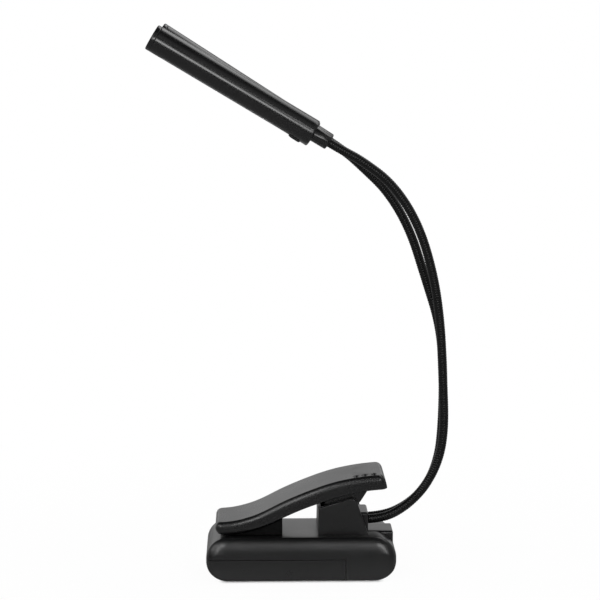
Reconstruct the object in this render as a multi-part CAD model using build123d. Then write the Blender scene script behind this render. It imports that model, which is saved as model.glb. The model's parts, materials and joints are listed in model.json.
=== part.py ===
"""A clip-on reading lamp with two stick heads on bending necks.

Frame: millimetres, +Z up, origin at the centre of the base's underside.
+X points to the end where the necks come out, and the front arm is on the -Y side.
"""
from build123d import *
import math
import os

# Base housing: a soap-bar shape with full round ends, big enough for three AAA cells side by side
BASE_LENGTH = 81.0
BASE_WIDTH = 39.0
BASE_HEIGHT = 18.2
BASE_END_RADIUS = 9.0
BASE_EDGE_RADIUS = 3.5
BASE_FOOT_RADIUS = 1.0
END_TRIM = 0.1
WALL = 2.0
FLOOR = 2.4
CAVITY_EDGE_RADIUS = 1.5
PARTING_Z = 9.3

# Battery door: the lower left of the base, slides off towards -X
DOOR_RIGHT_X = 19.0
DOOR_TOP_Z = PARTING_Z
DOOR_GAP = 0.2
TONGUE_REACH = 4.0
TONGUE_Z = (1.25, 2.2)
TONGUE_WIDTH = 26.0
RIDGE_Z = 5.0
RIDGE_HEIGHT = 0.7
RIDGE_X = (-25.0, 15.0)
RIDGE_REACH = 0.45
RIDGE_ROOT = 0.5
GRIP_GROOVES_X = (4.0, 7.0, 10.0)
GRIP_GROOVE_RADIUS = 1.0
GRIP_GROOVE_DROP = 0.5
GRIP_GROOVE_HALF_LENGTH = 7.0

# Battery tray and cells (AAA: 10.5 mm by 44.5 mm)
CELL_RADIUS = 5.25
CELL_LENGTH = 44.5
CELL_NUB_RADIUS = 1.9
CELL_NUB_LENGTH = 0.8
CELL_EDGE_RADIUS = 0.5
CELL_SPACING = 10.7
CELL_LEFT_X = -30.2
CELL_Z = FLOOR + 0.3 + CELL_RADIUS
TRAY_X = (-35.5, 17.5)
TRAY_HALF_WIDTH = 17.3
TRAY_WALL = 1.0
TRAY_TOP_Z = (13.4, 14.4)
TRAY_SIDE_Z = 3.3
TRAY_SIDE_SETBACK = 3.0
TRAY_END_HALF_WIDTH = 15.0
TRAY_END_Z = 4.8
TRAY_POST_RADIUS = 2.0
TRAY_POSTS = ((-25.0, -12.0), (-25.0, 12.0), (3.0, -12.0), (3.0, 12.0))
CONTACT_THICKNESS = 0.4
CONTACT_GAP = 0.1
LEAF_HALF_WIDTH = 2.5
LEAF_OUTER = (3.0, 2.4, 0.4)
LEAF_INNER = (1.8, 0.2, 0.9)
TAB_RADIUS = 3.4
TAB_NOSE_RADIUS = 1.5

# Tail block: housing of the power jack at the +X end
TAIL_X = (29.2, 39.7)
TAIL_HALF_WIDTH = 7.2
TAIL_TOP_Z = 18.3
TAIL_WALL = 1.8
TAIL_EDGE_RADIUS = 0.6
TAIL_ROOM_START_X = 26.2
JACK_Z = 12.9
JACK_BODY_X = (26.7, 37.7)
JACK_HALF_WIDTH = 4.6
JACK_HALF_HEIGHT = 3.5
JACK_BORE_RADIUS = 2.8
JACK_MOUTH_RADIUS = 3.1
JACK_PIN_RADIUS = 1.0
JACK_DEPTH = 9.5
JACK_PIN_ROOT = 0.5
JACK_PIN_SETBACK = 0.8

# Driver board and case screws
BOARD_X = (21.0, 36.0)
BOARD_HALF_WIDTH = 9.5
BOARD_Z = (6.6, 7.8)
BOARD_POST_INSET = 1.5
BOARD_POST_RADIUS = 1.2
CHIP = ((22.5, 26.5), (4.4, 8.6), 1.5)
COIL = ((29.5, 32.5), (6.4, 8.4), 1.2)
CAPACITOR_PLACE = (24.5, -6.6)
CAPACITOR_RADIUS = 2.0
CAPACITOR_HEIGHT = 3.0
SCREW_X = 26.5
SCREW_Y = 13.2
SCREW_RADIUS = 1.0
SCREW_HEAD_RADIUS = 2.0
SCREW_HEAD_HEIGHT = 1.4
SCREW_Z = (1.2, 13.5)
SCREW_GRIP_GAP = 0.05
SCREW_HOLE_GAP = 0.2
SCREW_HEAD_GAP = 0.3
SCREW_TIP_GAP = 0.5
SCREW_SLOT = (1.5, 0.3, 0.6)
BOSS_RADIUS = 3.0

# Hinge tower: two cheeks with a cross wall, and the pin hidden in blind holes
CHEEK_Y = (10.6, 13.0)
CHEEK_OUTLINE = ((7.3, 17.0), (7.5, 30.0), (23.2, 34.6), (29.3, 17.0))
CHEEK_TOP_RADIUS = 2.4
CHEEK_HEEL_RADIUS = 1.0
TOWER_WALL_X = (7.4, 9.0)
TOWER_WALL_TOP = 28.5
PIVOT_X = 16.0
PIVOT_Z = 26.5
PIN_RADIUS = 1.5
PIN_HALF_LENGTH = 12.2
PIN_RUNNING_GAP = 0.05

# Clip lever
LEVER_HALF_WIDTH = 14.0
LEVER_TOP = ((-35.3, 23.9), (-30.0, 24.5), (-25.8, 25.3), (-17.4, 28.1), (-9.0, 32.3), (-0.5, 36.1),
             (7.0, 39.0), (14.2, 41.3), (21.4, 42.9), (29.0, 44.0), (33.6, 44.4))
LEVER_BOTTOM = ((36.9, 38.3), (28.0, 37.5), (21.0, 36.2), (14.0, 34.3), (7.0, 32.0), (-0.5, 29.2),
                (-9.0, 25.4), (-17.5, 21.8), (-26.0, 19.6), (-34.8, 18.7))
THUMB_NOSE = (36.3, 41.8)
TIP_NOSE = (-36.5, 21.4)
LEVER_EDGE_RADIUS = 1.2
LEVER_PLATE = 2.2
LEVER_SKIRT = 2.0
LEVER_HOLLOW_X = (-29.0, 34.3)
EAR_Y = (8.0, 10.3)
EAR_RADIUS = 4.6
EAR_OUTLINE = ((11.4, 26.5), (20.6, 26.5), (25.7, 32.6), (29.1, 38.0), (29.1, 42.6), (9.0, 38.3))
GRIP_LINES = ((24.0, 43.35), (27.6, 43.85), (31.3, 44.25))
GRIP_LINE_RADIUS = 0.9
GRIP_LINE_RISE = 0.6
GRIP_LINE_HALF_LENGTH = 11.0

# Jaw pad: rubber wedge between the lever and the flat of the base
PAD_X = (-32.0, -8.0)
PAD_HALF_WIDTH = 12.8
PAD_FLOAT = 0.1
PAD_PLUG_HALF_WIDTH = 11.6
PAD_PLUG_X = (-28.0, -10.0)
PAD_PLUG_RISE = 2.0

# Clip spring: a torsion coil round the pin
SPRING_RADIUS = 3.1
SPRING_WIRE = 1.0
SPRING_PITCH = 1.6
SPRING_TURNS = 6
SPRING_LOWER_LEG_Z = 18.9
SPRING_UPPER_LEG_Z = 37.0

# Neck block: holds the lower ends of both necks
BLOCK_X = (20.8, 29.0)
BLOCK_HALF_WIDTH = 7.6
BLOCK_TOP_Z = 26.7
BLOCK_EDGE_RADIUS = 1.0
NECK_EXIT_Z = 22.5
WIRE_DROP_X = 24.2

# Bending necks: wound tubes with a core wire
NECK_RADIUS = 1.95
NECK_VALLEY_RADIUS = 1.75
NECK_BORE_RADIUS = 1.2
NECK_SOCKET_RADIUS = 2.0
NECK_START_X = 25.9
RIB_PITCH = 1.2
RIB_STEPS = ((0.0, NECK_VALLEY_RADIUS), (0.2, NECK_RADIUS), (0.7, NECK_RADIUS), (0.9, NECK_VALLEY_RADIUS))
BEND_GAP = 1.1
BORE_STEP = 2.5
CORE_RADIUS = 0.8
CORE_FOOT_Z = 8.1
CORE_BEND_RADIUS = 2.2
CORE_END_DEPTH = 2.5
ARC_SHARE = 0.45

# Heads: plain tubes, at the slope they are photographed at
HEAD_RADIUS = 5.7
HEAD_WALL = 1.0
HEAD_LENGTH = 78.0
CAP_LENGTH = 2.0
CAP_SPIGOT = 2.5
CAP_EDGE_RADIUS = 0.6
REAR_WALL = 1.5
REAR_EDGE_RADIUS = 0.6
COLLAR_RADIUS = 3.3
COLLAR_LENGTH = 7.5
COLLAR_EDGE_RADIUS = 0.5
COLLAR_SPIGOT_RADIUS = 2.2
NECK_PLUG_DEPTH = 4.0
COLLAR_LEAD = 7.0
SNUG_GAP = 0.05
WINDOW_X = (13.0, 70.0)
WINDOW_HALF_WIDTH = 2.8
LENS_GAP = 0.1
LENS_THICKNESS = 1.3
LENS_LIP_HALF_WIDTH = 3.2
LENS_LIP_THICKNESS = 0.6
LED_BOARD_X = (14.0, 69.0)
LED_BOARD_HALF_WIDTH = 4.2
LED_BOARD_Z = (0.6, 1.6)
LED_X = (24.0, 41.5, 59.0)
LED_SIZE = (3.5, 2.8, 0.9)
RAIL_Z = (-0.1, 0.6)
RAIL_INNER_Y = 3.8
BUTTON_X = 6.0
BUTTON_LENGTH = 5.4
BUTTON_WIDTH = 3.8
BUTTON_PROUD = 0.9
BUTTON_GAP = 0.25
BUTTON_FLANGE = (6.6, 4.6, 0.6)
BUTTON_FLANGE_Z = -3.85
BUTTON_EDGE_RADIUS = 0.5
BUTTON_TRAVEL = 0.8
SWITCH_SIZE = (5.0, 5.0, 2.6)
SWITCH_Z = -2.2
SWITCH_FOOT_HALF_WIDTH = 0.6
SWITCH_FOOT_GAP = 0.1


class Arm:
    """Where one arm stands: its side, its head's rear centre and slope, and its neck's corners.

    The collar's axis may sit a little above the head's own.
    """

    def __init__(self, name, side, rear, slope, collar_rise, corners, bend_heights):
        self.name = name
        self.side = side
        self.rear = Vector(*rear)
        self.slope = slope
        self.collar_rise = collar_rise
        self.corners = corners
        self.bend_heights = bend_heights

    def head_plane(self):
        """The head's frame: X along the tube to its tip, Z out of its upper side."""
        tilt = math.radians(self.slope)
        along = Vector(-math.cos(tilt), 0, math.sin(tilt))
        upward = Vector(math.sin(tilt), 0, math.cos(tilt))
        return Plane(origin=self.rear, x_dir=along, z_dir=upward)

    def on_axis(self, distance):
        """A point on the collar's axis, this far behind the head's rear end."""
        plane = self.head_plane()
        return self.rear + plane.z_dir * self.collar_rise - plane.x_dir * distance

    def neck_path(self):
        """The neck's centre line: straight runs joined by arcs as large as the runs allow."""
        return rounded_path(self.neck_points())

    def neck_points(self):
        """The corners of the neck's centre line, from inside the block to inside the collar."""
        points = [Vector(NECK_START_X, self.side * self.corners[0][1], NECK_EXIT_Z)]
        points += [Vector(x, self.side * spread, z) for x, spread, z in self.corners]
        points.append(self.on_axis(COLLAR_LENGTH + COLLAR_LEAD))
        points.append(self.on_axis(COLLAR_LENGTH - NECK_PLUG_DEPTH))
        return points


# Corners of each neck as (x, distance from the middle plane, z), and the heights of its bends
FRONT = Arm("front", -1, (5.3, -7.5, 189.2), 30.8, 0.0,
            ((35.5, 2.4, 22.5), (45.9, 2.6, 28.4), (54.2, 2.9, 37.4), (59.9, 3.2, 49.6), (61.7, 3.6, 63.7),
             (60.8, 4.2, 83.4), (59.6, 4.9, 107.3), (56.3, 5.6, 129.3), (49.5, 6.4, 151.2),
             (38.6, 7.1, 168.0), (25.0, 7.5, 178.1)),
            (56.5, 74.0, 141.0, 173.0))
BACK = Arm("back", 1, (5.77, 7.5, 187.76), 32.7, 1.35,
           ((35.6, 2.4, 22.5), (47.2, 2.6, 28.0), (55.4, 2.9, 36.8), (60.0, 3.2, 48.8), (61.4, 3.6, 63.0),
            (61.8, 4.2, 84.6), (60.2, 4.9, 105.9), (53.6, 5.7, 126.7), (47.1, 6.5, 147.2),
            (37.7, 7.1, 163.3), (26.6, 7.5, 174.0)),
           (56.5, 74.0, 138.0, 169.0))
NECK_STRETCHES = ("lower", "middle", "upper", "end", "tip")


def block(x, y, z):
    """A box between two limits on each axis."""
    middle = Pos((x[0] + x[1]) / 2, (y[0] + y[1]) / 2, (z[0] + z[1]) / 2)
    return middle * Box(x[1] - x[0], y[1] - y[0], z[1] - z[0])


def rod(radius, start, end):
    """A round rod between two points."""
    start = Vector(*start)
    along = Vector(*end) - start
    return Solid.make_cylinder(radius, along.length, Plane(origin=start, z_dir=along))


def plate(outline, y):
    """A plate with an outline in XZ, between two values of Y."""
    edge = Polyline(*[(px, y[0], pz) for px, pz in outline], close=True)
    return extrude(make_face(edge), y[1] - y[0], dir=(0, 1, 0))


def soap_bar(length, width, z, end_radius, edge_radius):
    """A bar with round ends, seen from the side, and rounded rims on its two long faces."""
    profile = Plane.XZ * RectangleRounded(length, z[1] - z[0], end_radius)
    bar = Pos(0, 0, (z[0] + z[1]) / 2) * extrude(profile, width / 2, both=True)
    return fillet(bar.faces().filter_by(Axis.Y).edges(), edge_radius)


def rounded_path(points, first_radius=None):
    """Straight runs through the points, each corner an arc as large as its two runs allow."""
    radii = []
    for before, corner, after in zip(points, points[1:], points[2:]):
        turn = math.radians((corner - before).get_angle(after - corner))
        shorter = min((corner - before).length, (after - corner).length)
        radii.append(ARC_SHARE * shorter / math.tan(turn / 2))
    if first_radius:
        radii[0] = first_radius
    return FilletPolyline(*points, radius=radii)


def base_outside():
    """The base's outer form: round rims above the parting line, upright sides and a crisp foot below it."""
    z = (0, BASE_HEIGHT)
    upper = soap_bar(BASE_LENGTH, BASE_WIDTH, z, BASE_END_RADIUS, BASE_EDGE_RADIUS)
    upper &= slab((PARTING_Z, BASE_HEIGHT + 1))
    plan = extrude(RectangleRounded(BASE_LENGTH, BASE_WIDTH, BASE_EDGE_RADIUS), PARTING_Z)
    lower = soap_bar(BASE_LENGTH + 2 * END_TRIM, BASE_WIDTH, z, BASE_END_RADIUS, BASE_FOOT_RADIUS)
    return upper + (lower & plan)


def base_shell():
    """The base's hollow wall, before it is split into its pieces."""
    inside = soap_bar(BASE_LENGTH - 2 * WALL, BASE_WIDTH - 2 * WALL, (FLOOR, BASE_HEIGHT - WALL),
                      BASE_END_RADIUS - FLOOR, CAVITY_EDGE_RADIUS)
    return base_outside() - inside


def slab(z, x=(-BASE_LENGTH, BASE_LENGTH)):
    """A block wider than the base, for cutting it."""
    return block(x, (-BASE_WIDTH, BASE_WIDTH), z)


def cheek(side):
    """One hinge cheek, with a rounded top corner and a blind hole for the pin."""
    y = sorted((side * CHEEK_Y[0], side * CHEEK_Y[1]))
    body = plate(CHEEK_OUTLINE, y)
    uprights = body.edges().filter_by(Axis.Y)
    body = fillet(uprights.sort_by(Axis.Z)[-1:], CHEEK_TOP_RADIUS)
    heel = body.edges().filter_by(Axis.Y).sort_by(Axis.X)[:2].sort_by(Axis.Z)[-1:]
    return fillet(heel, CHEEK_HEEL_RADIUS)


def screw_places():
    """The two places of the case screws."""
    return [(SCREW_X, -SCREW_Y), (SCREW_X, SCREW_Y)]


def base_top_shell(shell):
    """Upper half of the base: lower jaw flat, hinge tower and jack housing."""
    top = shell & slab((PARTING_Z, BASE_HEIGHT + 1))
    tail_y = (-TAIL_HALF_WIDTH, TAIL_HALF_WIDTH)
    tail = block(TAIL_X, tail_y, (PARTING_Z, TAIL_TOP_Z))
    tail = fillet(tail.edges().filter_by(Axis.X).sort_by(Axis.Z)[-2:], TAIL_EDGE_RADIUS)
    top += tail
    room_y = (-TAIL_HALF_WIDTH + TAIL_WALL, TAIL_HALF_WIDTH - TAIL_WALL)
    top -= block((TAIL_ROOM_START_X, TAIL_X[1] - TAIL_WALL), room_y, (PARTING_Z, BASE_HEIGHT - TAIL_WALL))
    top -= rod(JACK_MOUTH_RADIUS, (TAIL_X[1] - 2 * TAIL_WALL, 0, JACK_Z), (TAIL_X[1] + 1, 0, JACK_Z))
    for side in (-1, 1):
        top += cheek(side)
    top += block(TOWER_WALL_X, (-CHEEK_Y[0], CHEEK_Y[0]), (BASE_HEIGHT - 1, TOWER_WALL_TOP))
    top -= rod(PIN_RADIUS, (PIVOT_X, -PIN_HALF_LENGTH, PIVOT_Z), (PIVOT_X, PIN_HALF_LENGTH, PIVOT_Z))
    for arm in (FRONT, BACK):
        y = arm.side * arm.corners[0][1]
        drop_z = (BASE_HEIGHT - 2 * WALL, BASE_HEIGHT + 1)
        top -= rod(NECK_BORE_RADIUS, (WIRE_DROP_X, y, drop_z[0]), (WIRE_DROP_X, y, drop_z[1]))
    for x, y in screw_places():
        top += rod(BOSS_RADIUS, (x, y, PARTING_Z), (x, y, BASE_HEIGHT - WALL / 2))
        top -= rod(SCREW_RADIUS + SCREW_GRIP_GAP, (x, y, PARTING_Z), (x, y, SCREW_Z[1] + SCREW_TIP_GAP))
    return top


def base_bottom_shell(shell):
    """Lower half of the base, open at the left where the battery door goes."""
    bottom = shell & slab((-1, PARTING_Z))
    for x, y in screw_places():
        bottom += rod(BOSS_RADIUS, (x, y, FLOOR / 2), (x, y, PARTING_Z))
        bottom -= rod(SCREW_RADIUS + SCREW_HOLE_GAP, (x, y, 0), (x, y, PARTING_Z))
        head_room = SCREW_HEAD_RADIUS + SCREW_HEAD_GAP
        bottom -= rod(head_room, (x, y, -1), (x, y, SCREW_Z[0] + SCREW_HEAD_HEIGHT))
    post_y = BOARD_HALF_WIDTH - BOARD_POST_INSET
    for x in (BOARD_X[0] + BOARD_POST_INSET, BOARD_X[1] - BOARD_POST_INSET):
        for y in (-post_y, post_y):
            bottom += rod(BOARD_POST_RADIUS, (x, y, FLOOR / 2), (x, y, BOARD_Z[0]))
    bottom -= slab((-1, DOOR_TOP_Z), (-BASE_LENGTH, DOOR_RIGHT_X))
    tongue_y = (-TONGUE_WIDTH / 2 - DOOR_GAP, TONGUE_WIDTH / 2 + DOOR_GAP)
    tongue_x = (DOOR_RIGHT_X - 1, DOOR_RIGHT_X + TONGUE_REACH)
    return bottom - block(tongue_x, tongue_y, (TONGUE_Z[0] - DOOR_GAP, FLOOR + 1))


def battery_door(shell):
    """Sliding battery door: the lower left of the base, with a tongue, two ridges and grip grooves."""
    door = shell & slab((-1, DOOR_TOP_Z - DOOR_GAP), (-BASE_LENGTH, DOOR_RIGHT_X - DOOR_GAP))
    tongue_x = (DOOR_RIGHT_X - 2, DOOR_RIGHT_X + TONGUE_REACH - DOOR_GAP)
    door += block(tongue_x, (-TONGUE_WIDTH / 2, TONGUE_WIDTH / 2), TONGUE_Z)
    inner = BASE_WIDTH / 2 - WALL
    for side in (-1, 1):
        y = sorted((side * (inner - RIDGE_REACH), side * (inner + RIDGE_ROOT)))
        door += block(RIDGE_X, y, (RIDGE_Z - RIDGE_HEIGHT / 2, RIDGE_Z + RIDGE_HEIGHT / 2))
    for x in GRIP_GROOVES_X:
        ends = ((x, side * GRIP_GROOVE_HALF_LENGTH, -GRIP_GROOVE_DROP) for side in (-1, 1))
        door -= rod(GRIP_GROOVE_RADIUS, *ends)
    return door


def battery_tray():
    """Tray over the cells, with grooves in its sides that the door's ridges run in."""
    y = (-TRAY_HALF_WIDTH, TRAY_HALF_WIDTH)
    tray = block(TRAY_X, y, TRAY_TOP_Z)
    for side in (-1, 1):
        wall_y = sorted((side * TRAY_HALF_WIDTH, side * (TRAY_HALF_WIDTH - TRAY_WALL)))
        tray += block((TRAY_X[0] + TRAY_SIDE_SETBACK, TRAY_X[1]), wall_y, (TRAY_SIDE_Z, TRAY_TOP_Z[1]))
        groove_y = sorted((side * TRAY_HALF_WIDTH, side * (TRAY_HALF_WIDTH - TRAY_WALL / 2)))
        groove_z = (RIDGE_Z - RIDGE_HEIGHT / 2 - DOOR_GAP, RIDGE_Z + RIDGE_HEIGHT / 2 + DOOR_GAP)
        tray -= block((TRAY_X[0], RIDGE_X[1] + DOOR_GAP), groove_y, groove_z)
    end_y = (-TRAY_END_HALF_WIDTH, TRAY_END_HALF_WIDTH)
    tray += block((TRAY_X[0], TRAY_X[0] + TRAY_WALL), end_y, (TRAY_END_Z, TRAY_TOP_Z[1]))
    tray += block((TRAY_X[1] - TRAY_WALL, TRAY_X[1]), y, (TRAY_SIDE_Z, TRAY_TOP_Z[1]))
    for x, y in TRAY_POSTS:
        tray += rod(TRAY_POST_RADIUS, (x, y, TRAY_TOP_Z[0]), (x, y, BASE_HEIGHT - WALL))
    return tray


def battery_cell(index):
    """One AAA cell; the middle one lies the other way round."""
    y = (index - 1) * CELL_SPACING
    left, right = CELL_LEFT_X, CELL_LEFT_X + CELL_LENGTH
    can = (left, right - CELL_NUB_LENGTH) if index != 1 else (left + CELL_NUB_LENGTH, right)
    cell = rod(CELL_RADIUS, (can[0], y, CELL_Z), (can[1], y, CELL_Z))
    cell = fillet(cell.edges(), CELL_EDGE_RADIUS)
    return cell + rod(CELL_NUB_RADIUS, (left, y, CELL_Z), (right, y, CELL_Z))


def contact_springs():
    """Three bent leaf contacts at the left end of the cells."""
    wall = TRAY_X[0] + TRAY_WALL
    face = wall + CONTACT_THICKNESS
    nose = CELL_LEFT_X - CONTACT_GAP
    end, foot, flat = LEAF_OUTER
    inner_foot, inner_flat, inner_depth = LEAF_INNER
    outline = [(wall, -end), (face, -end), (face, -foot), (nose, -flat)]
    outline += [(nose, flat), (face, foot), (face, end), (wall, end)]
    deep = nose - inner_depth
    hollow = ((face, -inner_foot), (deep, -inner_flat), (deep, inner_flat), (face, inner_foot))
    leaves = []
    for index in range(3):
        y = (index - 1) * CELL_SPACING
        leaf = plate(outline, (y - LEAF_HALF_WIDTH, y + LEAF_HALF_WIDTH))
        leaf -= plate(hollow, (y - 2 * LEAF_HALF_WIDTH, y + 2 * LEAF_HALF_WIDTH))
        leaves.append(Pos(0, 0, CELL_Z) * leaf)
    return leaves


def contact_tabs():
    """Three contact discs at the right end of the cells."""
    wall = TRAY_X[1] - TRAY_WALL
    nose = CELL_LEFT_X + CELL_LENGTH + CONTACT_GAP
    tabs = []
    for index in range(3):
        y = (index - 1) * CELL_SPACING
        disc = rod(TAB_RADIUS, (wall - CONTACT_THICKNESS, y, CELL_Z), (wall, y, CELL_Z))
        tabs.append(disc + rod(TAB_NOSE_RADIUS, (nose, y, CELL_Z), (wall, y, CELL_Z)))
    return tabs


def driver_board():
    """LED driver board with its chip, coil and capacitor."""
    board = block(BOARD_X, (-BOARD_HALF_WIDTH, BOARD_HALF_WIDTH), BOARD_Z)
    top = BOARD_Z[1]
    for x, y, height in (CHIP, COIL):
        board += block(x, y, (top, top + height))
    return board + rod(CAPACITOR_RADIUS, (*CAPACITOR_PLACE, top), (*CAPACITOR_PLACE, top + CAPACITOR_HEIGHT))


def dc_jack():
    """Power jack: a box with a round socket and a centre pin."""
    z = (JACK_Z - JACK_HALF_HEIGHT, JACK_Z + JACK_HALF_HEIGHT)
    jack = block(JACK_BODY_X, (-JACK_HALF_WIDTH, JACK_HALF_WIDTH), z)
    right = JACK_BODY_X[1]
    jack -= rod(JACK_BORE_RADIUS, (right - JACK_DEPTH, 0, JACK_Z), (right + 1, 0, JACK_Z))
    pin_x = (right - JACK_DEPTH - JACK_PIN_ROOT, right - JACK_PIN_SETBACK)
    return jack + rod(JACK_PIN_RADIUS, (pin_x[0], 0, JACK_Z), (pin_x[1], 0, JACK_Z))


def case_screws():
    """Two pan-head case screws, driven up from below."""
    screws = []
    for x, y in screw_places():
        shank = rod(SCREW_RADIUS, (x, y, SCREW_Z[0]), (x, y, SCREW_Z[1]))
        head_top = SCREW_Z[0] + SCREW_HEAD_HEIGHT
        head = rod(SCREW_HEAD_RADIUS, (x, y, SCREW_Z[0]), (x, y, head_top))
        long, wide, deep = SCREW_SLOT
        slot_z = (SCREW_Z[0], SCREW_Z[0] + deep)
        slot = block((x - long, x + long), (y - wide, y + wide), slot_z)
        cross = block((x - wide, x + wide), (y - long, y + long), slot_z)
        screws.append(shank + head - slot - cross)
    return screws


def hinge_pin():
    """Steel pin of the clip lever."""
    return rod(PIN_RADIUS, (PIVOT_X, -PIN_HALF_LENGTH, PIVOT_Z), (PIVOT_X, PIN_HALF_LENGTH, PIVOT_Z))


def biarc(start, start_dir, end, end_dir):
    """Two arcs that meet smoothly, from one point and direction to another."""
    chord = end - start
    both = start_dir + end_dir
    spread = 2 * (1 - start_dir.dot(end_dir))
    reach = (math.sqrt(chord.dot(both) ** 2 + spread * chord.dot(chord)) - chord.dot(both)) / spread
    first, second = start + start_dir * reach, end - end_dir * reach
    middle = (first + second) * 0.5
    return [TangentArc(start, middle, tangent=start_dir), TangentArc(middle, end, tangent=second - first)]


def coil_point(turn):
    """Place and direction on the clip spring's coil after a number of turns."""
    angle = 2 * math.pi * turn - math.pi / 2
    y = (turn - SPRING_TURNS / 2) * SPRING_PITCH
    place = Vector(PIVOT_X + SPRING_RADIUS * math.sin(angle), y, PIVOT_Z + SPRING_RADIUS * math.cos(angle))
    turning = 2 * math.pi * SPRING_RADIUS
    heading = Vector(turning * math.cos(angle), SPRING_PITCH, -turning * math.sin(angle)).normalized()
    return place, heading


def clip_spring():
    """Torsion spring: coil round the pin, one leg down to the base and one up under the lever."""
    start, start_dir = coil_point(0)
    end, end_dir = coil_point(SPRING_TURNS)
    foot = start - start_dir * ((start.Z - SPRING_LOWER_LEG_Z) / start_dir.Z)
    top = end + end_dir * ((SPRING_UPPER_LEG_Z - end.Z) / end_dir.Z)
    edges = [Line(foot, start)]
    for quarter in range(4 * SPRING_TURNS):
        edges += biarc(*coil_point(quarter / 4), *coil_point((quarter + 1) / 4))
    edges.append(Line(end, top))
    path = Wire(edges)
    gap = min((coil_point(t / 24)[0] - coil_point(t / 24 + 1)[0]).length
              for t in range(24 * (SPRING_TURNS - 1))) - SPRING_WIRE
    print(f"clip spring: least gap between turns {gap:.2f} mm")
    return sweep(Plane(origin=foot, z_dir=start_dir) * Circle(SPRING_WIRE / 2), path)


def neck_block():
    """Block on the base that both necks come out of."""
    y = (-BLOCK_HALF_WIDTH, BLOCK_HALF_WIDTH)
    body = block(BLOCK_X, y, (BASE_HEIGHT, BLOCK_TOP_Z))
    rim = body.edges().filter_by(Axis.Z) + body.faces().sort_by(Axis.Z)[-1].edges()
    body = fillet(rim, BLOCK_EDGE_RADIUS)
    for arm in (FRONT, BACK):
        y = arm.side * arm.corners[0][1]
        body -= rod(NECK_SOCKET_RADIUS, (WIRE_DROP_X, y, NECK_EXIT_Z), (BLOCK_X[1] + 1, y, NECK_EXIT_Z))
        body -= rod(NECK_BORE_RADIUS, (WIRE_DROP_X, y, BASE_HEIGHT - 1), (WIRE_DROP_X, y, NECK_EXIT_Z))
        body -= Pos(WIRE_DROP_X, y, NECK_EXIT_Z) * Sphere(NECK_SOCKET_RADIUS)
    return body


def lever_profile(y):
    """The lever's side outline as a face: an S-shaped slab with rounded nose and thumb end."""
    top = Spline(*[(x, y, z) for x, z in LEVER_TOP])
    bottom = Spline(*[(x, y, z) for x, z in LEVER_BOTTOM])
    thumb = ThreePointArc(top @ 1, (THUMB_NOSE[0], y, THUMB_NOSE[1]), bottom @ 0)
    tip = ThreePointArc(bottom @ 1, (TIP_NOSE[0], y, TIP_NOSE[1]), top @ 0)
    return make_face([top, thumb, bottom, tip])


def lever():
    """Clip lever: hollow S-shaped arm with two hinge ears and grip lines at the thumb end."""
    body = extrude(lever_profile(-LEVER_HALF_WIDTH), 2 * LEVER_HALF_WIDTH, dir=(0, 1, 0))
    body = fillet(body.faces().filter_by(Axis.Y).edges(), LEVER_EDGE_RADIUS)
    inner = LEVER_HALF_WIDTH - LEVER_SKIRT
    ceiling = Spline(*[(x, -inner, z - LEVER_PLATE) for x, z in LEVER_TOP])
    low = BASE_HEIGHT - WALL
    under = make_face([ceiling, Polyline(ceiling @ 1, ((ceiling @ 1).X, -inner, low),
                                         ((ceiling @ 0).X, -inner, low), ceiling @ 0)])
    hollow = extrude(under, 2 * inner, dir=(0, 1, 0))
    hollow &= block(LEVER_HOLLOW_X, (-inner, inner), (low, LEVER_TOP[-1][1]))
    body -= hollow
    pin_hole = PIN_RADIUS + PIN_RUNNING_GAP
    for side in (-1, 1):
        y = sorted((side * EAR_Y[0], side * EAR_Y[1]))
        ear = plate(EAR_OUTLINE, y) + rod(EAR_RADIUS, (PIVOT_X, y[0], PIVOT_Z), (PIVOT_X, y[1], PIVOT_Z))
        body += ear
    body -= rod(pin_hole, (PIVOT_X, -EAR_Y[1] - 1, PIVOT_Z), (PIVOT_X, EAR_Y[1] + 1, PIVOT_Z))
    for x, z in GRIP_LINES:
        z += GRIP_LINE_RISE
        body -= rod(GRIP_LINE_RADIUS, (x, -GRIP_LINE_HALF_LENGTH, z), (x, GRIP_LINE_HALF_LENGTH, z))
    return body


def jaw_pad():
    """Rubber jaw pad: flat below, its top follows the lever, with a plug up into the hollow."""
    floor = BASE_HEIGHT + PAD_FLOAT

    def wedge(x, rise, half_width):
        edge = Spline(*[(px, -half_width, pz + rise) for px, pz in LEVER_BOTTOM])
        face = make_face([edge, Polyline(edge @ 1, ((edge @ 1).X, -half_width, floor),
                                         ((edge @ 0).X, -half_width, floor), edge @ 0)])
        solid = extrude(face, 2 * half_width, dir=(0, 1, 0))
        return solid & block(x, (-half_width, half_width), (floor, LEVER_TOP[-1][1]))

    return wedge(PAD_X, 0, PAD_HALF_WIDTH) + wedge(PAD_PLUG_X, PAD_PLUG_RISE, PAD_PLUG_HALF_WIDTH)


def length_at_height(path, z):
    """How far along a rising path it reaches a height."""
    low, high = 0.0, path.length
    for _ in range(40):
        middle = (low + high) / 2
        if path.position_at(middle, PositionMode.LENGTH).Z < z:
            low = middle
        else:
            high = middle
    return low


def ring(path, distance, radius):
    """A circle square to a path, with its X axis kept across the lamp."""
    distance = min(max(distance, 0.0), path.length)
    place = path.position_at(distance, PositionMode.LENGTH)
    along = path.tangent_at(distance, PositionMode.LENGTH)
    across = Vector(0, 1, 0) - along * along.Y
    return Wire.make_circle(radius, Plane(origin=place, x_dir=across, z_dir=along))


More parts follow.
